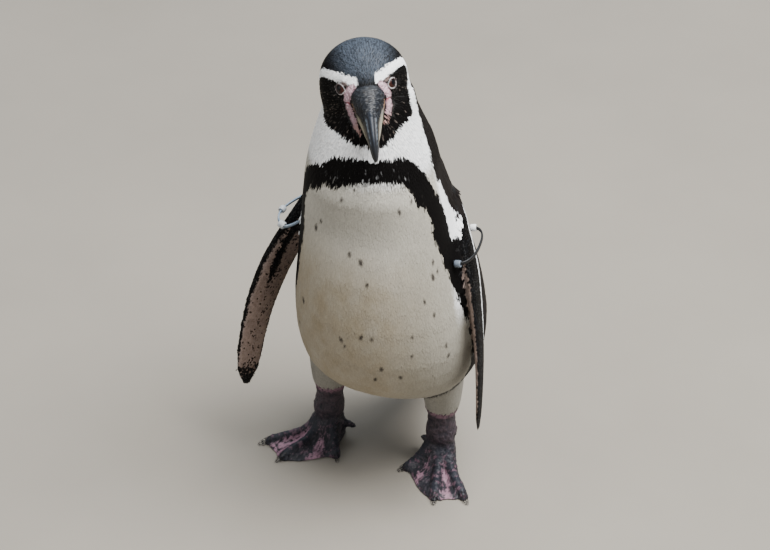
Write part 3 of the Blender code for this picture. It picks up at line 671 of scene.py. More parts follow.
def colours(p, normals, owners, edge):
    """Linear colours of places on the skin or of feathers rooted there."""
    rgb = body_colours(p, edge)
    on_head = np.isin(owners, HEAD_OR_NECK)
    f, l, u = in_head(p).T
    chin = u - by_side(CHIN_EDGE, l > 0, f) + 1.3 * fine(p) + 0.9 * medium(p)
    behind = ramp(u, -24, -20) * ramp(f, 5, 1)
    dark = np.maximum(ramp(chin, -edge / 2, edge / 2), behind) * on_head
    rgb = rgb + (head_colours(p, edge) - rgb) * dark[:, None]
    rgb = np.where((on_head & (u > -60))[:, None], face_colours(p, rgb), rgb)
    for number, node in enumerate(FLESH):
        mine = owners == number
        part, side = PART[number], node.split("_")[-1]
        here, way = p[mine], normals[mine]
        if not mine.any():
            continue
        if part == "flipper":
            rgb[mine] = flipper_colours(here, way, side)
        elif part in BARE:
            rgb[mine] = foot_colours(here, side)
        elif part == "tail":
            # Painted shade: the tail darker where it faces up, to hold back the light from above.
            rgb[mine] = Paint(BACK, here).scale(1 - 0.7 * ramp(way[:, 2], 0.0, 0.5)).rgb
        elif part == "thigh":
            # Painted shade: the thighs' white is kept darker than the belly's.
            white = Paint(np.array(WHITE) * 0.62, here).lay(BLACK, thigh_crease_shade(here)).rgb
            bare = foot_colours(here, side)
            rgb[mine] = bare + (white - bare) * ramp(above_shin(here), -0.6, 0.6)[:, None]
    return np.clip(rgb, 0.0015, 0.95)


# ---- Mesh helpers ----


def add_object(name, mesh):
    obj = bpy.data.objects.new(name, mesh)
    bpy.context.collection.objects.link(obj)
    return obj


def add_mesh(name, verts, faces):
    mesh = bpy.data.meshes.new(name)
    mesh.from_pydata(np.asarray(verts).tolist(), [], faces)
    mesh.shade_smooth()
    return add_object(name, mesh)


def add_closed(name, verts, faces):
    """A mesh whose faces are turned to look outward."""
    obj = add_mesh(name, verts, faces)
    bm = bmesh.new()
    bm.from_mesh(obj.data)
    bmesh.ops.recalc_face_normals(bm, faces=bm.faces)
    bm.to_mesh(obj.data)
    bm.free()
    return obj


def set_coords(mesh, p):
    mesh.vertices.foreach_set("co", np.ascontiguousarray(p, float).ravel())
    mesh.update()


def set_colour(obj, rgb):
    layer = obj.data.color_attributes.new("paint", "FLOAT_COLOR", "POINT")
    full = np.ones((len(rgb), 4), np.float32)
    full[:, :3] = rgb
    layer.data.foreach_set("color", full.ravel())
    obj.data.color_attributes.active_color = layer


def dress(obj, material, slot, *nodes):
    """Gives a piece its material and its body, and hides the nodes that it stands for. slot is not
    used.
    """
    obj.data.materials.clear()
    obj.data.materials.append(material)
    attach(obj, "root")
    if nodes:
        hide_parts(*nodes)


def evaluated(obj):
    graph = bpy.context.evaluated_depsgraph_get()
    return bpy.data.meshes.new_from_object(obj.evaluated_get(graph), depsgraph=graph)


def evened(mesh, values, amount, rounds):
    """Rows of values at the vertices, drawn towards the mean of their neighbours'."""
    a, b = read(mesh.edges, "vertices", 2, np.int32).T
    size = len(values)
    count = np.bincount(a, minlength=size) + np.bincount(b, minlength=size)
    amount = np.broadcast_to(amount, size)[:, None]
    for _ in range(rounds):
        total = [np.bincount(a, v[b], size) + np.bincount(b, v[a], size) for v in values.T]
        values = values + amount * (np.stack(total, 1) / count[:, None] - values)
    return values


def relax(mesh, amount, rounds):
    set_coords(mesh, evened(mesh, coords(mesh), amount, rounds))


def refine(mesh, chosen):
    """Halves the faces whose every vertex is chosen."""
    bm = bmesh.new()
    bm.from_mesh(mesh)
    bm.verts.ensure_lookup_table()
    edges = [e for e in bm.edges if chosen[e.verts[0].index] and chosen[e.verts[1].index]]
    bmesh.ops.subdivide_edges(bm, edges=edges, cuts=1, use_grid_fill=True, smooth=0.0)
    bm.to_mesh(mesh)
    bm.free()


def loft(rings, loop=False):
    """Vertices and faces of a tube through rings of equal counts, capped or joined to a loop."""
    count, around = rings.shape[:2]
    i, j = np.divmod(np.arange((count if loop else count - 1) * around), around)
    here, ahead, k = i * around, (i + 1) % count * around, (j + 1) % around
    faces = np.stack([here + j, here + k, ahead + k, ahead + j], 1).tolist()
    if not loop:
        ends = np.arange(around)
        faces += [ends[::-1].tolist(), (ends + (count - 1) * around).tolist()]
    return rings.reshape(-1, 3), faces


# ---- Materials ----


def add_node(tree, kind, inputs=None, **settings):
    """A new node. inputs gives its sockets' values, or the sockets that feed them."""
    made = tree.nodes.new(kind)
    for key, value in settings.items():
        setattr(made, key, value)
    for key, value in (inputs or {}).items():
        if isinstance(value, bpy.types.NodeSocket):
            tree.links.new(value, made.inputs[key])
        else:
            made.inputs[key].default_value = value
    return made


class Shader:
    """A Principled material made node by node. values are the shader's own, by socket name."""

    def __init__(self, name, values):
        self.material = bpy.data.materials.new(name)
        self.material.use_nodes = True
        self.bsdf = self.material.node_tree.nodes["Principled BSDF"]
        for key, value in values.items():
            self.bsdf.inputs[key].default_value = value

    def node(self, kind, inputs=None, **settings):
        return add_node(self.material.node_tree, "ShaderNode" + kind, inputs, **settings)

    def feed(self, socket, source):
        self.material.node_tree.links.new(source, self.bsdf.inputs[socket])

    def noise(self, scale, detail=4.0, roughness=0.6):
        place = self.node("TexCoord").outputs["Object"]
        inputs = {"Vector": place, "Scale": scale, "Detail": detail, "Roughness": roughness}
        return self.node("TexNoise", inputs).outputs["Fac"]

    def blend(self, source, *stops):
        """A ramp between two colours, each with its place."""
        made = self.node("ValToRGB", {"Fac": source})
        for element, (at, rgb) in zip(made.color_ramp.elements, stops):
            element.position, element.color = at, (*rgb, 1)
        return made.outputs["Color"]

    def painted(self):
        return self.node("Attribute", attribute_name="paint").outputs["Color"]

    def grained(self, grain, *stops):
        """The painted colour times a brightness that follows a grain."""
        tint = self.blend(grain, *((at, (bright,) * 3) for at, bright in stops))
        inputs = {0: 1.0, 6: self.painted(), 7: tint}
        mixed = self.node("Mix", inputs, data_type="RGBA", blend_type="MULTIPLY")
        self.feed("Base Color", mixed.outputs[2])

    def roughen(self, source, low, high):
        made = self.node("MapRange", {"Value": source, "To Min": low, "To Max": high})
        self.feed("Roughness", made.outputs[0])

    def relief(self, source, strength, distance):
        made = self.node("Bump", {"Height": source, "Strength": strength, "Distance": distance})
        self.feed("Normal", made.outputs[0])


def plumage_material(name, roughness):
    shader = Shader(name, {"Specular IOR Level": 0.07})
    grain = shader.noise(900.0, 3.0)
    shader.grained(grain, (0.3, 0.92), (0.7, 1.06))
    shader.roughen(grain, roughness - 0.06, roughness + 0.08)
    return shader.material


def bare_skin_material():
    shader = Shader("bare skin", {"Specular IOR Level": 0.3})
    grain = shader.noise(700.0, 5.0)
    shader.grained(grain, (0.3, 0.78), (0.7, 1.15))
    shader.roughen(shader.noise(260.0), 0.42, 0.68)
    shader.relief(grain, 0.35, 0.0004)
    return shader.material


def horn_material():
    shader = Shader("horn", {"Specular IOR Level": 0.3})
    grain = shader.noise(420.0, 6.0, 0.7)
    shader.grained(grain, (0.25, 0.65), (0.75, 1.3))
    shader.roughen(grain, 0.36, 0.6)
    shader.relief(grain, 0.25, 0.0003)
    return shader.material


def eye_material():
    shader = Shader("eye", {
        "Roughness": 0.18, "Specular IOR Level": 0.12, "Coat Weight": 0.12, "Coat Roughness": 0.03,
    })
    shader.feed("Base Color", shader.painted())
    return shader.material


def plain_material(name, dark, light, roughness):
    shader = Shader(name, {"Specular IOR Level": 0.3})
    shader.feed("Base Color", shader.blend(shader.noise(160.0), (0.35, dark), (0.7, light)))
    shader.roughen(shader.noise(500.0), roughness - 0.08, roughness + 0.1)
    shader.relief(shader.noise(900.0), 0.15, 0.0002)
    return shader.material


# ---- Skin ----


def joined_flesh():
    """The flesh's solids, each grown a little, with the eye sockets closed, as one mesh."""
    verts, faces, _ = gathered(FLESH, GROWN)
    ball = bmesh.new()
    bmesh.ops.create_icosphere(ball, subdivisions=4, radius=1.0)
    unit_ball = np.array([v.co for v in ball.verts])
    triangles = [[v.index for v in f.verts] for f in ball.faces]
    ball.free()
    for centre, radii in SKULL_EGGS:
        faces += [[len(verts) + i for i in t] for t in triangles]
        verts += from_head(np.array(centre) + unit_ball * radii).tolist()
    return add_mesh("flesh", verts, faces)


def skin_mesh():
    """One smooth surface over all of the flesh, finer on the head, feet, face and eyelids."""
    flesh = joined_flesh()
    remesh = flesh.modifiers.new("REMESH", "REMESH")
    remesh.mode, remesh.voxel_size, remesh.adaptivity = "VOXEL", VOXEL, 0.0
    mesh = evaluated(flesh)
    bpy.data.objects.remove(flesh)
    parts = PART[nearest(coords(mesh))]
    relax(mesh, np.array([SOFTNESS[part] for part in parts]) * 0.6, 26)
    refine(mesh, np.isin(parts, FINE_PARTS))
    relax(mesh, np.isin(PART[nearest(coords(mesh))], FINE_PARTS) * 0.5, 2)
    refine(mesh, bare_face(coords(mesh)) < 3.0)
    refine(mesh, eye_distance(coords(mesh)) < 3.2)
    relax(mesh, (bare_face(coords(mesh)) < 2.5) * 0.5, 6)
    return mesh


def eye_centres(mesh):
    """Middle of each eyeball, so that it stands just proud of the skin at its opening."""
    tree = BVHTree.FromPolygons(coords(mesh).tolist(), [tuple(f.vertices) for f in mesh.polygons])
    found = {}
    for side in SIDES:
        centre, _, _, out = eye_axes(side)
        way = Vector(out @ HEAD_AXES)
        hit = tree.ray_cast(Vector(from_head(centre)) + way * 0.03, -way)[0]
        found[side] = np.array(hit - way * (EYEBALL - 0.5) * MM)
    return found


def carve_eyes(p, eyeballs):
    """Lids that hug the eyeballs, and openings behind which the skin drops away."""
    distance = eye_distance(p)
    for centre in eyeballs.values():
        rel = p - centre
        away = np.linalg.norm(rel, axis=1, keepdims=True)
        near = ((distance < 6.5) & (away[:, 0] < 14 * MM))[:, None]
        rim = 0.40 + 0.45 * hump(distance, 0.9, 0.65)
        rim = rim + 0.10 * fine(p) * ramp(distance, 0.3, 1.2)
        hugging = centre + rel / away * ((EYEBALL + rim) * MM)[:, None]
        p = p + (hugging - p) * ramp(distance, 5.5, 0.8)[:, None] * near
        behind = centre + rel / away * (EYEBALL - 1.6) * MM
        p = p + (behind - p) * ramp(distance, 0.15, -0.30)[:, None] * near
    return p


def coat_mask(p, parts):
    """1 where feathers grow, 0 on bare skin."""
    mask = ~np.isin(parts, BARE) * ramp(bare_face(p), -0.2, 0.8)
    mask = mask * np.where(parts == "thigh", ramp(above_shin(p), -0.8, 0.8), 1)
    along, across, up = ((in_head(p) - BILL_ROOT) @ bill_axes().T).T
    rim = np.hypot(across / 13.6, np.where(up > 0, up / 12.4, up / 10.2))
    return mask * (1 - ramp(along, -12, -8) * ramp(rim, 1.02, 0.96))


def bare_relief(p, parts):
    """Folds of the bare skin, mm outward."""
    z, face, legs = p[:, 2], bare_face(p), np.isin(parts, BARE)
    inside = ramp(face, 0.5, -0.8) * ramp(eye_distance(p), 1.2, 2.4)
    height = inside * (0.35 * fine(p) + 0.30 * medium(p) - 0.45 * ramp(creases(p), 0.5, 0.0))
    height -= 1.2 * hump(in_head(p)[:, 2], -3.0, 0.9) * ramp(face, 0.3, -0.6)
    scales = np.abs(np.sin(z / MM * 0.62 + 2.2 * medium(p)))
    folds = 0.5 * (scales**0.6 - 0.7) + 0.45 * medium(p) + 0.2 * fine(p)
    shin = legs | ((parts == "thigh") & (above_shin(p) < 0))
    height += shin * ramp(z, 0.016, 0.024) * folds
    lumps = 0.40 * medium(p) + 0.30 * fine(p)
    height += legs * ramp(z, 0.024, 0.014) * ramp(z, 0.0012, 0.0025) * lumps
    for side in SIDES:
        along, across, radius = on_foot(p, side)
        here = legs & (np.abs(across) < 45) & (np.abs(along) < 75)
        ribs = np.abs(np.sin(radius * 0.62 + 0.7 * medium(p)))
        height += here * ramp(radius, 17, 24) * ramp(z, 0.0012, 0.003) * 0.28 * (0.6 - ribs)
        low = ramp(z, 0.030, 0.022) * ramp(radius, 14, 26)
        knuckles = 1 + 0.08 * np.sin(radius * 0.55 + 1.2)
        toes = 3.3 * knuckles * hump(toe_distance(p, side), 0, 4.6)
        height += here * low * (toes - 0.9)
    return height


def build_skin():
    mesh = skin_mesh()
    eyeballs = eye_centres(mesh)
    p, normals = coords(mesh), vertex_normals(mesh)
    owners = nearest(p)
    parts = PART[owners]
    mask = coat_mask(p, parts)
    depth = np.array([COAT_DEPTH.get(part, 0.0) for part in parts]) * mask
    depth += 0.5 * (1 - mask) * (bare_face(p) < 1)
    depth = evened(mesh, depth[:, None], 0.6, 8)[:, 0]
    outward = -depth * MM - GROWN * 0.8 + bare_relief(p, parts) * MM
    shoulder = ramp(round_trunk(p), 55, 85) * ramp(round_trunk(p), 170, 130)
    shoulder *= ramp(p[:, 2], 0.235, 0.290) * ramp(p[:, 2], 0.385, 0.345)
    inward = unit((TRUNK - p) * (1, 1, 0))
    moved = p + normals * outward[:, None] + inward * (SHOULDER * shoulder * MM)[:, None]
    for side in SIDES:
        along, _, radius = on_foot(p, side)
        web = (owners == FLESH.index(f"foot_{side}")) * (along > 0) * ramp(radius, 40, 52)
        web = web * ramp(toe_distance(p, side), 3, 8)
        moved += unit((p - FEET[side][0]) * (1, 1, 0)) * (WEB * MM * web)[:, None]
    moved = carve_eyes(moved, eyeballs)
    moved[:, 2] = np.maximum(moved[:, 2], 0.00005)
    set_coords(mesh, moved)
    mesh.shade_smooth()
    skin = add_object("skin", mesh)
    set_colour(skin, spotted(p, colours(p, normals, owners, 1.2)))
    dress(skin, bare_skin_material(), "bare_skin", *FLESH)
    return skin, mask, eyeballs


# ---- Feathers ----


def scatter(mesh, chosen, spacing, seed):
    """Places about one spacing apart on the chosen part of a mesh, with their normals."""
    host = add_object("scatter", mesh.copy())
    layer = host.data.attributes.new("where", "FLOAT", "POINT")
    layer.data.foreach_set("value", np.asarray(chosen, np.float32))
    tree = bpy.data.node_groups.new("scatter", "GeometryNodeTree")
    for way in ("INPUT", "OUTPUT"):
        tree.interface.new_socket("Geometry", in_out=way, socket_type="NodeSocketGeometry")
    start = add_node(tree, "NodeGroupInput")
    where = add_node(tree, "GeometryNodeInputNamedAttribute", {"Name": "where"}, data_type="FLOAT")
    spread = add_node(tree, "GeometryNodeDistributePointsOnFaces", {
        "Mesh": start.outputs[0], "Distance Min": spacing, "Density Max": 2.2 / spacing**2,
        "Density Factor": where.outputs["Attribute"], "Seed": seed,
    }, distribute_method="POISSON")
    store = add_node(tree, "GeometryNodeStoreNamedAttribute", {
        "Geometry": spread.outputs["Points"], "Name": "way_out", "Value": spread.outputs["Normal"],
    }, data_type="FLOAT_VECTOR", domain="POINT")
    to_mesh = add_node(tree, "GeometryNodePointsToVertices", {"Points": store.outputs["Geometry"]})
    add_node(tree, "NodeGroupOutput", {0: to_mesh.outputs["Mesh"]})
    host.modifiers.new("scatter", "NODES").node_group = tree
    made = evaluated(host)
    p = coords(made)
    normals = unit(read(made.attributes["way_out"].data, "vector", kind=np.float32))
    bpy.data.meshes.remove(host.data)  # the host goes with its mesh
    bpy.data.node_groups.remove(tree)
    bpy.data.meshes.remove(made)
    return p, normals


def lie(p, normals, owners):
    """The way the feathers run: away from the bill, down the body and along the limbs."""
    place = in_head(p)
    from_bill = unit(place - (34.0, 0.0, -2.0)) @ HEAD_AXES
    on_head = (ramp(place[:, 2], -55, -22) * np.isin(owners, HEAD_OR_NECK))[:, None]
    way = np.array((0, 0.10, -1.0)) * (1 - on_head) + (from_bill + (0, 0, -0.45)) * on_head
    for side, blade in FLIPPERS.items():
        way[owners == FLESH.index(f"flipper_{side}")] = blade.down - 0.25 * blade.lead
    way[PART[owners] == "tail"] = (0, 0.55, -1.0)
    way[PART[owners] == "thigh"] = (0, -0.05, -1.0)
    sway = np.stack([coarse(p), coarse(p + 0.3), coarse(p + 0.7)], 1)
    way = way + 0.10 * sway + RNG.normal(0, 0.07, way.shape)
    return unit(way - normals * np.sum(way * normals, axis=1, keepdims=True))


# The corners of a feather. How far each lies along it, to its side and above it, as shares of
# its length, width and lift; its part of the root's depth and of the ridge's height; how much
# its shading rolls and pitches; its brightness, a painted shade that is darker at the root and
# sides and lighter along the ridge and at the tip; and its place in the feather's UV patch.
CORNERS = np.array([
    (0, 0, 0, -1, 0, 0, -0.3, 0.78, 0, 1),
    (0.35, 0.50, 0.40, -0.4, 0, 1, 0, 0.94, -1, 0.4),
    (0.35, 0, 0.40, 0, 1, 0, 0, 0.98, 0, 0.4),
    (0.35, -0.50, 0.40, -0.4, 0, -1, 0, 0.94, 1, 0.4),
    (0.75, 0.42, 0.78, 0, -1, 1, 0, 1.0, -0.8, -0.5),
    (0.75, 0, 0.78, 0, 1, 0, 0, 1.03, 0, -0.5),
    (0.75, -0.42, 0.78, 0, -1, -1, 0, 1.0, 0.8, -0.5),
    (1, 0, 0.95, 0, 0, 0, 0.5, 1.06, 0, -1),
])
CORNER_FACES = np.array([
    (0, 2, 1), (0, 3, 2), (0, 1, 3), (1, 2, 5), (1, 5, 4), (2, 3, 6), (2, 6, 5), (3, 1, 4),
    (3, 4, 6), (4, 5, 7), (5, 6, 7), (6, 4, 7),
])


def vanes(name, p, normals, way, sizes, rgb, ruffle, material, slot):
    """Closed feather tips: each a root, two three-sided rings and a point.

    sizes are the length, width, lift and root depth in mm, each one for all the feathers or one
    for each. ruffle is how much they differ in tone and lift, and how round their shading is.
    """
    count = len(p)
    length, width, lift, deep = (np.broadcast_to(a, count)[:, None] * MM for a in sizes)
    ruffle = np.broadcast_to(ruffle, count)[:, None]
    length = length * RNG.uniform(0.85, 1.15, (count, 1))
    width = width * RNG.uniform(0.9, 1.1, (count, 1))
    lift = lift * (1 + ruffle * RNG.uniform(-1, 1, (count, 1)))
    along, sideways, above, root, ridge, roll, pitch, bright, *patch = CORNERS.T
    rise = above * lift + root * deep + ridge * ((0.01 + 0.08 * ruffle) * width)
    out, ahead, side = normals[:, None], way[:, None], np.cross(normals, way)[:, None]
    verts = p[:, None] + (along * length)[:, :, None] * ahead + rise[:, :, None] * out
    verts = (verts + (sideways * width)[:, :, None] * side).reshape(-1, 3)
    ruffle = ruffle[:, :, None]
    shading = unit(out + 0.9 * ruffle * (roll[:, None] * side + pitch[:, None] * ahead))
    faces = (CORNER_FACES + np.arange(count)[:, None, None] * len(CORNERS)).reshape(-1, 3)
    mesh = bpy.data.meshes.new(name)
    mesh.vertices.add(len(verts))
    mesh.vertices.foreach_set("co", verts.ravel())
    mesh.loops.add(faces.size)
    mesh.loops.foreach_set("vertex_index", faces.ravel().astype(np.int32))
    mesh.polygons.add(len(faces))
    mesh.polygons.foreach_set("loop_start", np.arange(0, faces.size, 3, dtype=np.int32))
    mesh.update(calc_edges=True)
    mesh.shade_smooth()
    mesh.normals_split_custom_set_from_vertices(shading.reshape(-1, 3).astype(np.float32))
    obj = add_object(name, mesh)
    # Painted shade and light on each feather: its corners' brightness darkens the root and sides
    # and lightens the ridge and tip.
    tone = rgb[:, None] * (1 + (bright - 1)[:, None] * (0.4 + 1.6 * ruffle))
    tone = tone * (1 + 0.30 * ruffle * RNG.uniform(-1, 1, (count, 1, 1)))
    set_colour(obj, spotted(verts, np.clip(tone, 0.001, 0.98).reshape(-1, 3)))
    unwrap(mesh, p, np.stack(patch, 1), faces)
    dress(obj, material, slot)


def unwrap(mesh, p, patch, faces):
    """OFBake: each feather's patch lies at its root's place on the skin unwrapped round Z."""
    centre = (p.min(0) + p.max(0)) / 2
    u = np.arctan2(p[:, 0] - centre[0], centre[1] - p[:, 1]) / (2 * math.pi) + 0.5
    v = (p[:, 2] - p[:, 2].min()) / np.ptp(p[:, 2])
    places = (0.01 + 0.98 * np.stack([u, v], 1)[:, None] + patch * PATCH).reshape(-1, 2)
    layer = mesh.uv_layers.new(name="OFBake")
    layer.data.foreach_set("uv", places[faces.ravel()].astype(np.float32).ravel())


def build_coats(skin, mask):
    """Feathers over everything but the bare skin."""
    materials = {"plumage": plumage_material("feathers", 0.66)}
    materials["dark_plumage"] = plumage_material("dark feathers", 0.62)
    p = coords(skin.data)
    owners = nearest(p)
    angle = np.abs(round_trunk(p))
    for seed, (name, row) in enumerate(COATS.items()):
        part, where, spacing, length, width, lift, deep, ruffle, slot = row
        chosen = (PART[owners] == part) * (mask > 0.5)
        if where in ("front", "back"):
            chosen = chosen * ((angle < COAT_SPLIT) == (where == "front"))
        elif where in SIDES:
            chosen = chosen * (owners == FLESH.index(f"{part}_{where}"))
        roots, normals = scatter(skin.data, chosen, spacing * MM, seed)
        z, mine = roots[:, 2], nearest(roots)
        way = lie(roots, normals, mine)
        tips = roots + normals * (COAT_DEPTH[part] * MM) + way * (0.6 * length * MM)
        rgb = colours(tips, normals, mine, 0.8)
        if part == "head":
            face = ramp(in_head(roots)[:, 0], 0, 14)
            near_bare = ramp(bare_face(roots), 0.0, 4.5)
            length = length * (1 - 0.25 * face) * (0.45 + 0.55 * near_bare)
            lift = lift * (1 + 0.25 * face)
        elif part == "neck":  # the lower neck's feathers are the belly's
            high = ramp(z, 0.350, 0.366)
            length, width = 8.5 + (length - 8.5) * high, 3.0 + (width - 3.0) * high
            ruffle, lift = 0.2 + (ruffle - 0.2) * high, 0.2 + (lift - 0.2) * high
        elif part == "flipper":
            length = length * (1 - 0.6 * ramp(FLIPPERS[where].places(roots)[0], 0.88, 0.98))
        elif part == "tail":  # shorter at the tip, shorter and steeper in the hollow at its root
            length = length * (0.2 + 0.8 * ramp(z, z.min(), z.min() + 0.4 * np.ptp(z)))
            hollow = ramp(from_trunk(roots), 16, 6)
            length, lift = length * (1 - 0.65 * hollow), lift * (1 + 0.8 * hollow)
        elif where == "back":
            rump = ramp(z, 0.165, 0.145) * ramp(np.abs(round_trunk(roots)), 140, 155)
            length, lift = length * (1 - 0.45 * rump), lift * (1 + 3.0 * rump)
        sizes = (length, width, lift, deep)
        vanes(name, roots, normals, way, sizes, rgb, ruffle, materials[slot], slot)


# ---- Eyes ----


def build_eyes(eyeballs):
    shiny = eye_material()
    _, c, s = circle(48)
    tilt = np.linspace(0, math.pi, 45)[1:-1]
    bulge = EYEBALL + 0.25 * np.exp(-((tilt / 0.55) ** 2))
    wide, tall = (bulge * np.sin(tilt))[:, None], (bulge * np.cos(tilt))[:, None]
    verts, faces = loft(np.stack([wide * c, wide * s, tall * np.ones(len(c))], 2))
    theta = np.degrees(np.arctan2(np.hypot(verts[:, 0], verts[:, 1]), verts[:, 2]))
    spoke = np.arctan2(verts[:, 1], verts[:, 0])
    iris = Paint((0.028, 0.010, 0.008), verts)
    iris.scale(1 + 0.25 * np.sin(spoke * 9) + 0.15 * np.sin(spoke * 23 + 1))
    iris.lay((0.060, 0.024, 0.017), ramp(theta, 36, 46) * 0.7)
    iris.lay((0.003, 0.003, 0.004), ramp(theta, 27, 24))
    iris.lay((0.012, 0.008, 0.008), ramp(theta, 52, 60))
    for side, centre in eyeballs.items():
        place = centre + (verts @ np.stack(eye_axes(side)[1:])) @ HEAD_AXES * MM
        obj = add_closed(f"eyeball_{side}", place, faces)
        set_colour(obj, np.clip(iris.rgb, 0.001, 1))
        dress(obj, shiny, "eye", f"eye_{side}")


# ---- Bill ----


def smooth_table(x, y, at):
    """A curve through the stations with the slopes of its neighbours."""
    slope = np.gradient(y, x)
    i = np.clip(np.searchsorted(x, at) - 1, 0, len(x) - 2)
    h = x[i + 1] - x[i]
    t = (at - x[i]) / h
    return (
        (2 * t**3 - 3 * t**2 + 1) * y[i] + (t**3 - 2 * t**2 + t) * h * slope[i]
        + (3 * t**2 - 2 * t**3) * y[i + 1] + (t**3 - t**2) * h * slope[i + 1]
    )


def mandible(name, stations, upper, material):
    """One half of the bill: an arch over a flat inner face, with plates, ridges and grooves."""
    rows = np.array(stations, float).T
    along = np.linspace(rows[0, 0], rows[0, -1], 150)
    width, first, second = (smooth_table(rows[0], row, along) for row in rows[1:])
    edge, crown = (second, first) if upper else (first, second)
    _, c, s = circle(72)
    across = width[:, None] * squarer(c, 0.84)
    arch = np.where(s > 0, np.abs(s) ** 1.12, -0.06 * np.abs(s))
    up = edge[:, None] + (crown - edge)[:, None] * arch
    verts, faces = loft(np.stack([np.repeat(along[:, None], len(c), 1), across, up], 2))
    world = from_head(np.array(BILL_ROOT) + verts @ bill_axes())
    rough, grain, big = fine(world), speck(world), medium(world)
    x, across, up = verts.T
    lean = np.abs(across) / np.interp(x, along, width)
    plate = ramp(x + 1.2 * rough + 0.8 * big, 26.5, 24.5)
    streak = np.sin(np.arctan2(across, np.abs(up) + 3) * 26 + 2.5 * rough)
    rise = plate * (0.42 + 0.38 * rough + 0.20 * streak + 0.22 * grain) * ramp(x, -2, 3)
    if upper:
        ridge = hump(lean, 0.66, 0.07) * ramp(x, 23, 29) * ramp(x, 58, 48)
        groove = hump(lean, 0.46, 0.08) * ramp(x, 20, 28) * ramp(x, 58, 50)
        side_groove = hump(lean, 0.84, 0.07) * ramp(x, 14, 22) * ramp(x, 56, 46)
        nostril = hump(x, 20.5, 3.2) * hump(lean, 0.80, 0.06)
        culmen = hump(lean, 0, 0.16) * ramp(x, 16, 26)
        rise += 0.55 * ridge - 0.60 * groove - 0.45 * side_groove - 1.4 * nostril + 0.35 * culmen
    else:
        rise += 0.3 * hump(lean, 0.80, 0.12) * ramp(x, 10, 20)
        rise -= 0.45 * hump(lean, 0.55, 0.12) * ramp(x, 8, 20) * ramp(x, 50, 40)
    obj = add_closed(name, world, faces)
    top = np.tile(s > 0.02, len(along))  # the inner face stays flat
    set_coords(obj.data, world + vertex_normals(obj.data) * (rise * top * MM)[:, None])
    horn = Paint((0.008, 0.010, 0.014), x).scale(1 + 0.45 * rough + 0.35 * grain)
    flecks = ramp(grain + 0.8 * streak + 0.6 * rough, 0.9, 2.0)
    horn.lay((0.085, 0.092, 0.100), 0.7 * plate * flecks)
    horn.lay((0.055, 0.044, 0.030), 0.35 * plate * ramp(big + 0.6 * rough, 0.5, 1.2))
    if upper:
        # Painted highlight: pale bluish streaks along the ridges.
        horn.lay((0.17, 0.21, 0.25), 0.6 * ridge * ramp(rough, -0.8, 0.8))
        # Painted shade in the grooves and the nostril.
        horn.lay((0.012, 0.013, 0.017), 0.9 * np.maximum(groove, nostril))
        horn.lay((0.016, 0.024, 0.040), 0.6 * culmen)
        edge = ramp(lean, 0.88, 0.97) * ramp(x, 24, 34) * ramp(x, 54, 46)
        horn.lay((0.14, 0.12, 0.085), 0.6 * edge)
        horn.lay((0.010, 0.011, 0.014), ramp(x, 44, 54))
    else:
        horn.lay((0.15, 0.13, 0.085), 0.85 * ramp(lean, 0.60, 0.85) * ramp(x, 12, 24))
        horn.lay((0.34, 0.20, 0.12), 0.5 * ramp(lean, 0.78, 0.92) * ramp(x, 18, 8))
        horn.lay((0.24, 0.23, 0.19), 0.7 * ramp(lean, 0.94, 1.0) * ramp(x, 26, 36))
    set_colour(obj, np.clip(horn.rgb, 0.003, 0.9))
    dress(obj, material, "horn", name.replace("horn", "bill"))


# ---- Claws, bands and beads ----


def nail(toe, side, material):
    """A rounder and fuller copy of a claw's solid, which stands for it."""
    name, node = f"nail_{toe}_{side}", f"claw_{toe}_{side}"
    obj = add_object(name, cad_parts[node].data.copy())
    obj.data.shade_smooth()
    modifier = obj.modifiers.new("round", "SUBSURF")
    modifier.levels = modifier.render_levels = 2
    obj.data = evaluated(obj)
    obj.modifiers.clear()
    obj.data.name = name
    p = coords(obj.data) + vertex_normals(obj.data) * NAIL_FULLER * MM
    p[:, 2] = np.maximum(p[:, 2], 0.0001)
    set_coords(obj.data, p)
    dress(obj, material, "horn", node)


def loop_line(side):
    """The middle line of a flipper band, set where its solid is, and the way across the band."""
    half, out, standing, inside = LOOPS[side]
    half, out = np.array(half), np.array(out)
    along = unit(half)
    out = unit(out - along * (out @ along))
    _, c, s = circle(180)
    reach = np.where(s > 0, standing, inside) * MM
    line = squarer(c, 0.8)[:, None] * half + (reach * squarer(s, 0.8))[:, None] * out
    line += middle(f"band_{side}") - (line.min(0) + line.max(0)) / 2
    return line, unit(np.cross(along, out))


def strap(side, line, across, material):
    """A flat strap with rounded edges round the band's loop."""
    ahead = unit(np.roll(line, -1, 0) - np.roll(line, 1, 0))
    flat = unit(across - ahead * (ahead @ across)[:, None])
    thick = np.cross(ahead, flat)
    _, c, s = circle(16)
    wide, deep = STRAP[0] * squarer(c, 0.6) * MM, STRAP[1] * squarer(s, 0.8) * MM
    rings = line[:, None] + flat[:, None] * wide[:, None] + thick[:, None] * deep[:, None]
    dress(add_closed(f"strap_{side}", *loft(rings, True)), material, "band", f"band_{side}")


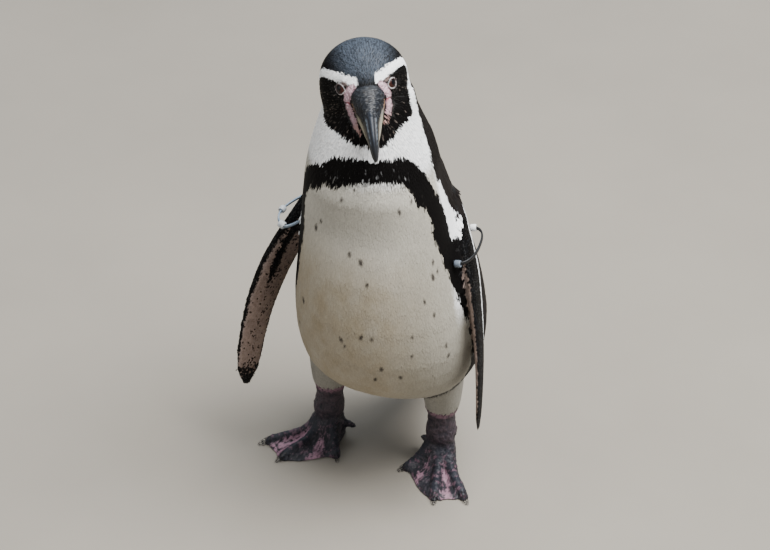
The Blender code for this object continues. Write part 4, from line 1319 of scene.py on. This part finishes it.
def bead(node, line, material):
    """A short barrel with a rounded hole, turned along the strap that it sits on."""
    low, high = np.array(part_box(node))
    centre, radius = (low + high) / 2, np.mean(high - low) / 2
    near = line[np.linalg.norm(line - centre, axis=1) < 9 * MM]
    along = unit(np.linalg.svd(near - near.mean(0), full_matrices=False)[2][0])
    side = unit(np.cross(along, (0.3, 0.2, 1.0)))
    up = np.cross(along, side)
    _, c, s = circle(28)
    far = radius * (0.70 + 0.30 * squarer(c, 0.6))
    reach = radius * 0.86 * squarer(s, 0.7)
    rings = np.stack([
        centre + along * reach[:, None] + far[:, None] * (side * math.cos(t) + up * math.sin(t))
        for t in circle(36)[0]
    ])
    dress(add_closed(f"{node}_fine", *loft(rings, True)), material, "bead", node)


def build_small_pieces():
    horn = horn_material()
    mandible("horn_upper", BILL_UPPER, True, horn)
    mandible("horn_lower", BILL_LOWER, False, horn)
    claw = plain_material("claw", (0.008, 0.007, 0.008), (0.022, 0.020, 0.022), 0.45)
    for side in SIDES:
        for toe in TOES:
            nail(toe, side, claw)
    looks = {name: plain_material(name, *look) for name, look in BAND_LOOKS.items()}
    for side, (webbing, *beads) in BANDS.items():
        line, across = loop_line(side)
        strap(side, line, across, looks[webbing])
        for number, name in enumerate(beads, 1):
            bead(f"bead_{side}_{number}", line, looks[name])


# ---- Stage ----


def stage():
    floor = add_mesh("floor", [(-4, -4, 0), (4, -4, 0), (4, 4, 0), (-4, 4, 0)], [(0, 1, 2, 3)])
    pale = Shader("floor", {"Roughness": 0.9, "Specular IOR Level": 0.2})
    pale.feed("Base Color", pale.blend(pale.noise(3.0), *FLOOR))
    floor.data.materials.append(pale.material)
    world = bpy.data.worlds.new("world")
    world.use_nodes = True
    background = world.node_tree.nodes["Background"].inputs
    background["Color"].default_value, background["Strength"].default_value = SKY
    bpy.context.scene.world = world
    for name, place, size, energy, tint in LIGHTS:
        data = bpy.data.lights.new(name, "AREA")
        data.size, data.energy, data.color = size, energy, tint
        lamp = add_object(name, data)
        lamp.location = place
        way = Vector(AIM) - Vector(place)
        lamp.rotation_euler = way.to_track_quat("-Z", "Y").to_euler()
    turn, rise = math.radians(CAMERA["azimuth"]), math.radians(CAMERA["elevation"])
    flat = math.cos(rise)
    away = Vector((math.sin(turn) * flat, -math.cos(turn) * flat, math.sin(rise)))
    camera = add_object("camera", bpy.data.cameras.new("camera"))
    camera.data.lens, camera.data.sensor_width = CAMERA["lens"], 36.0
    camera.location = Vector(AIM) + away * CAMERA["distance"]
    camera.rotation_euler = (-away).to_track_quat("-Z", "Y").to_euler()
    bpy.context.scene.camera = camera


stage()
skin, feathered, eyeballs = build_skin()
build_eyes(eyeballs)
build_small_pieces()
build_coats(skin, feathered)
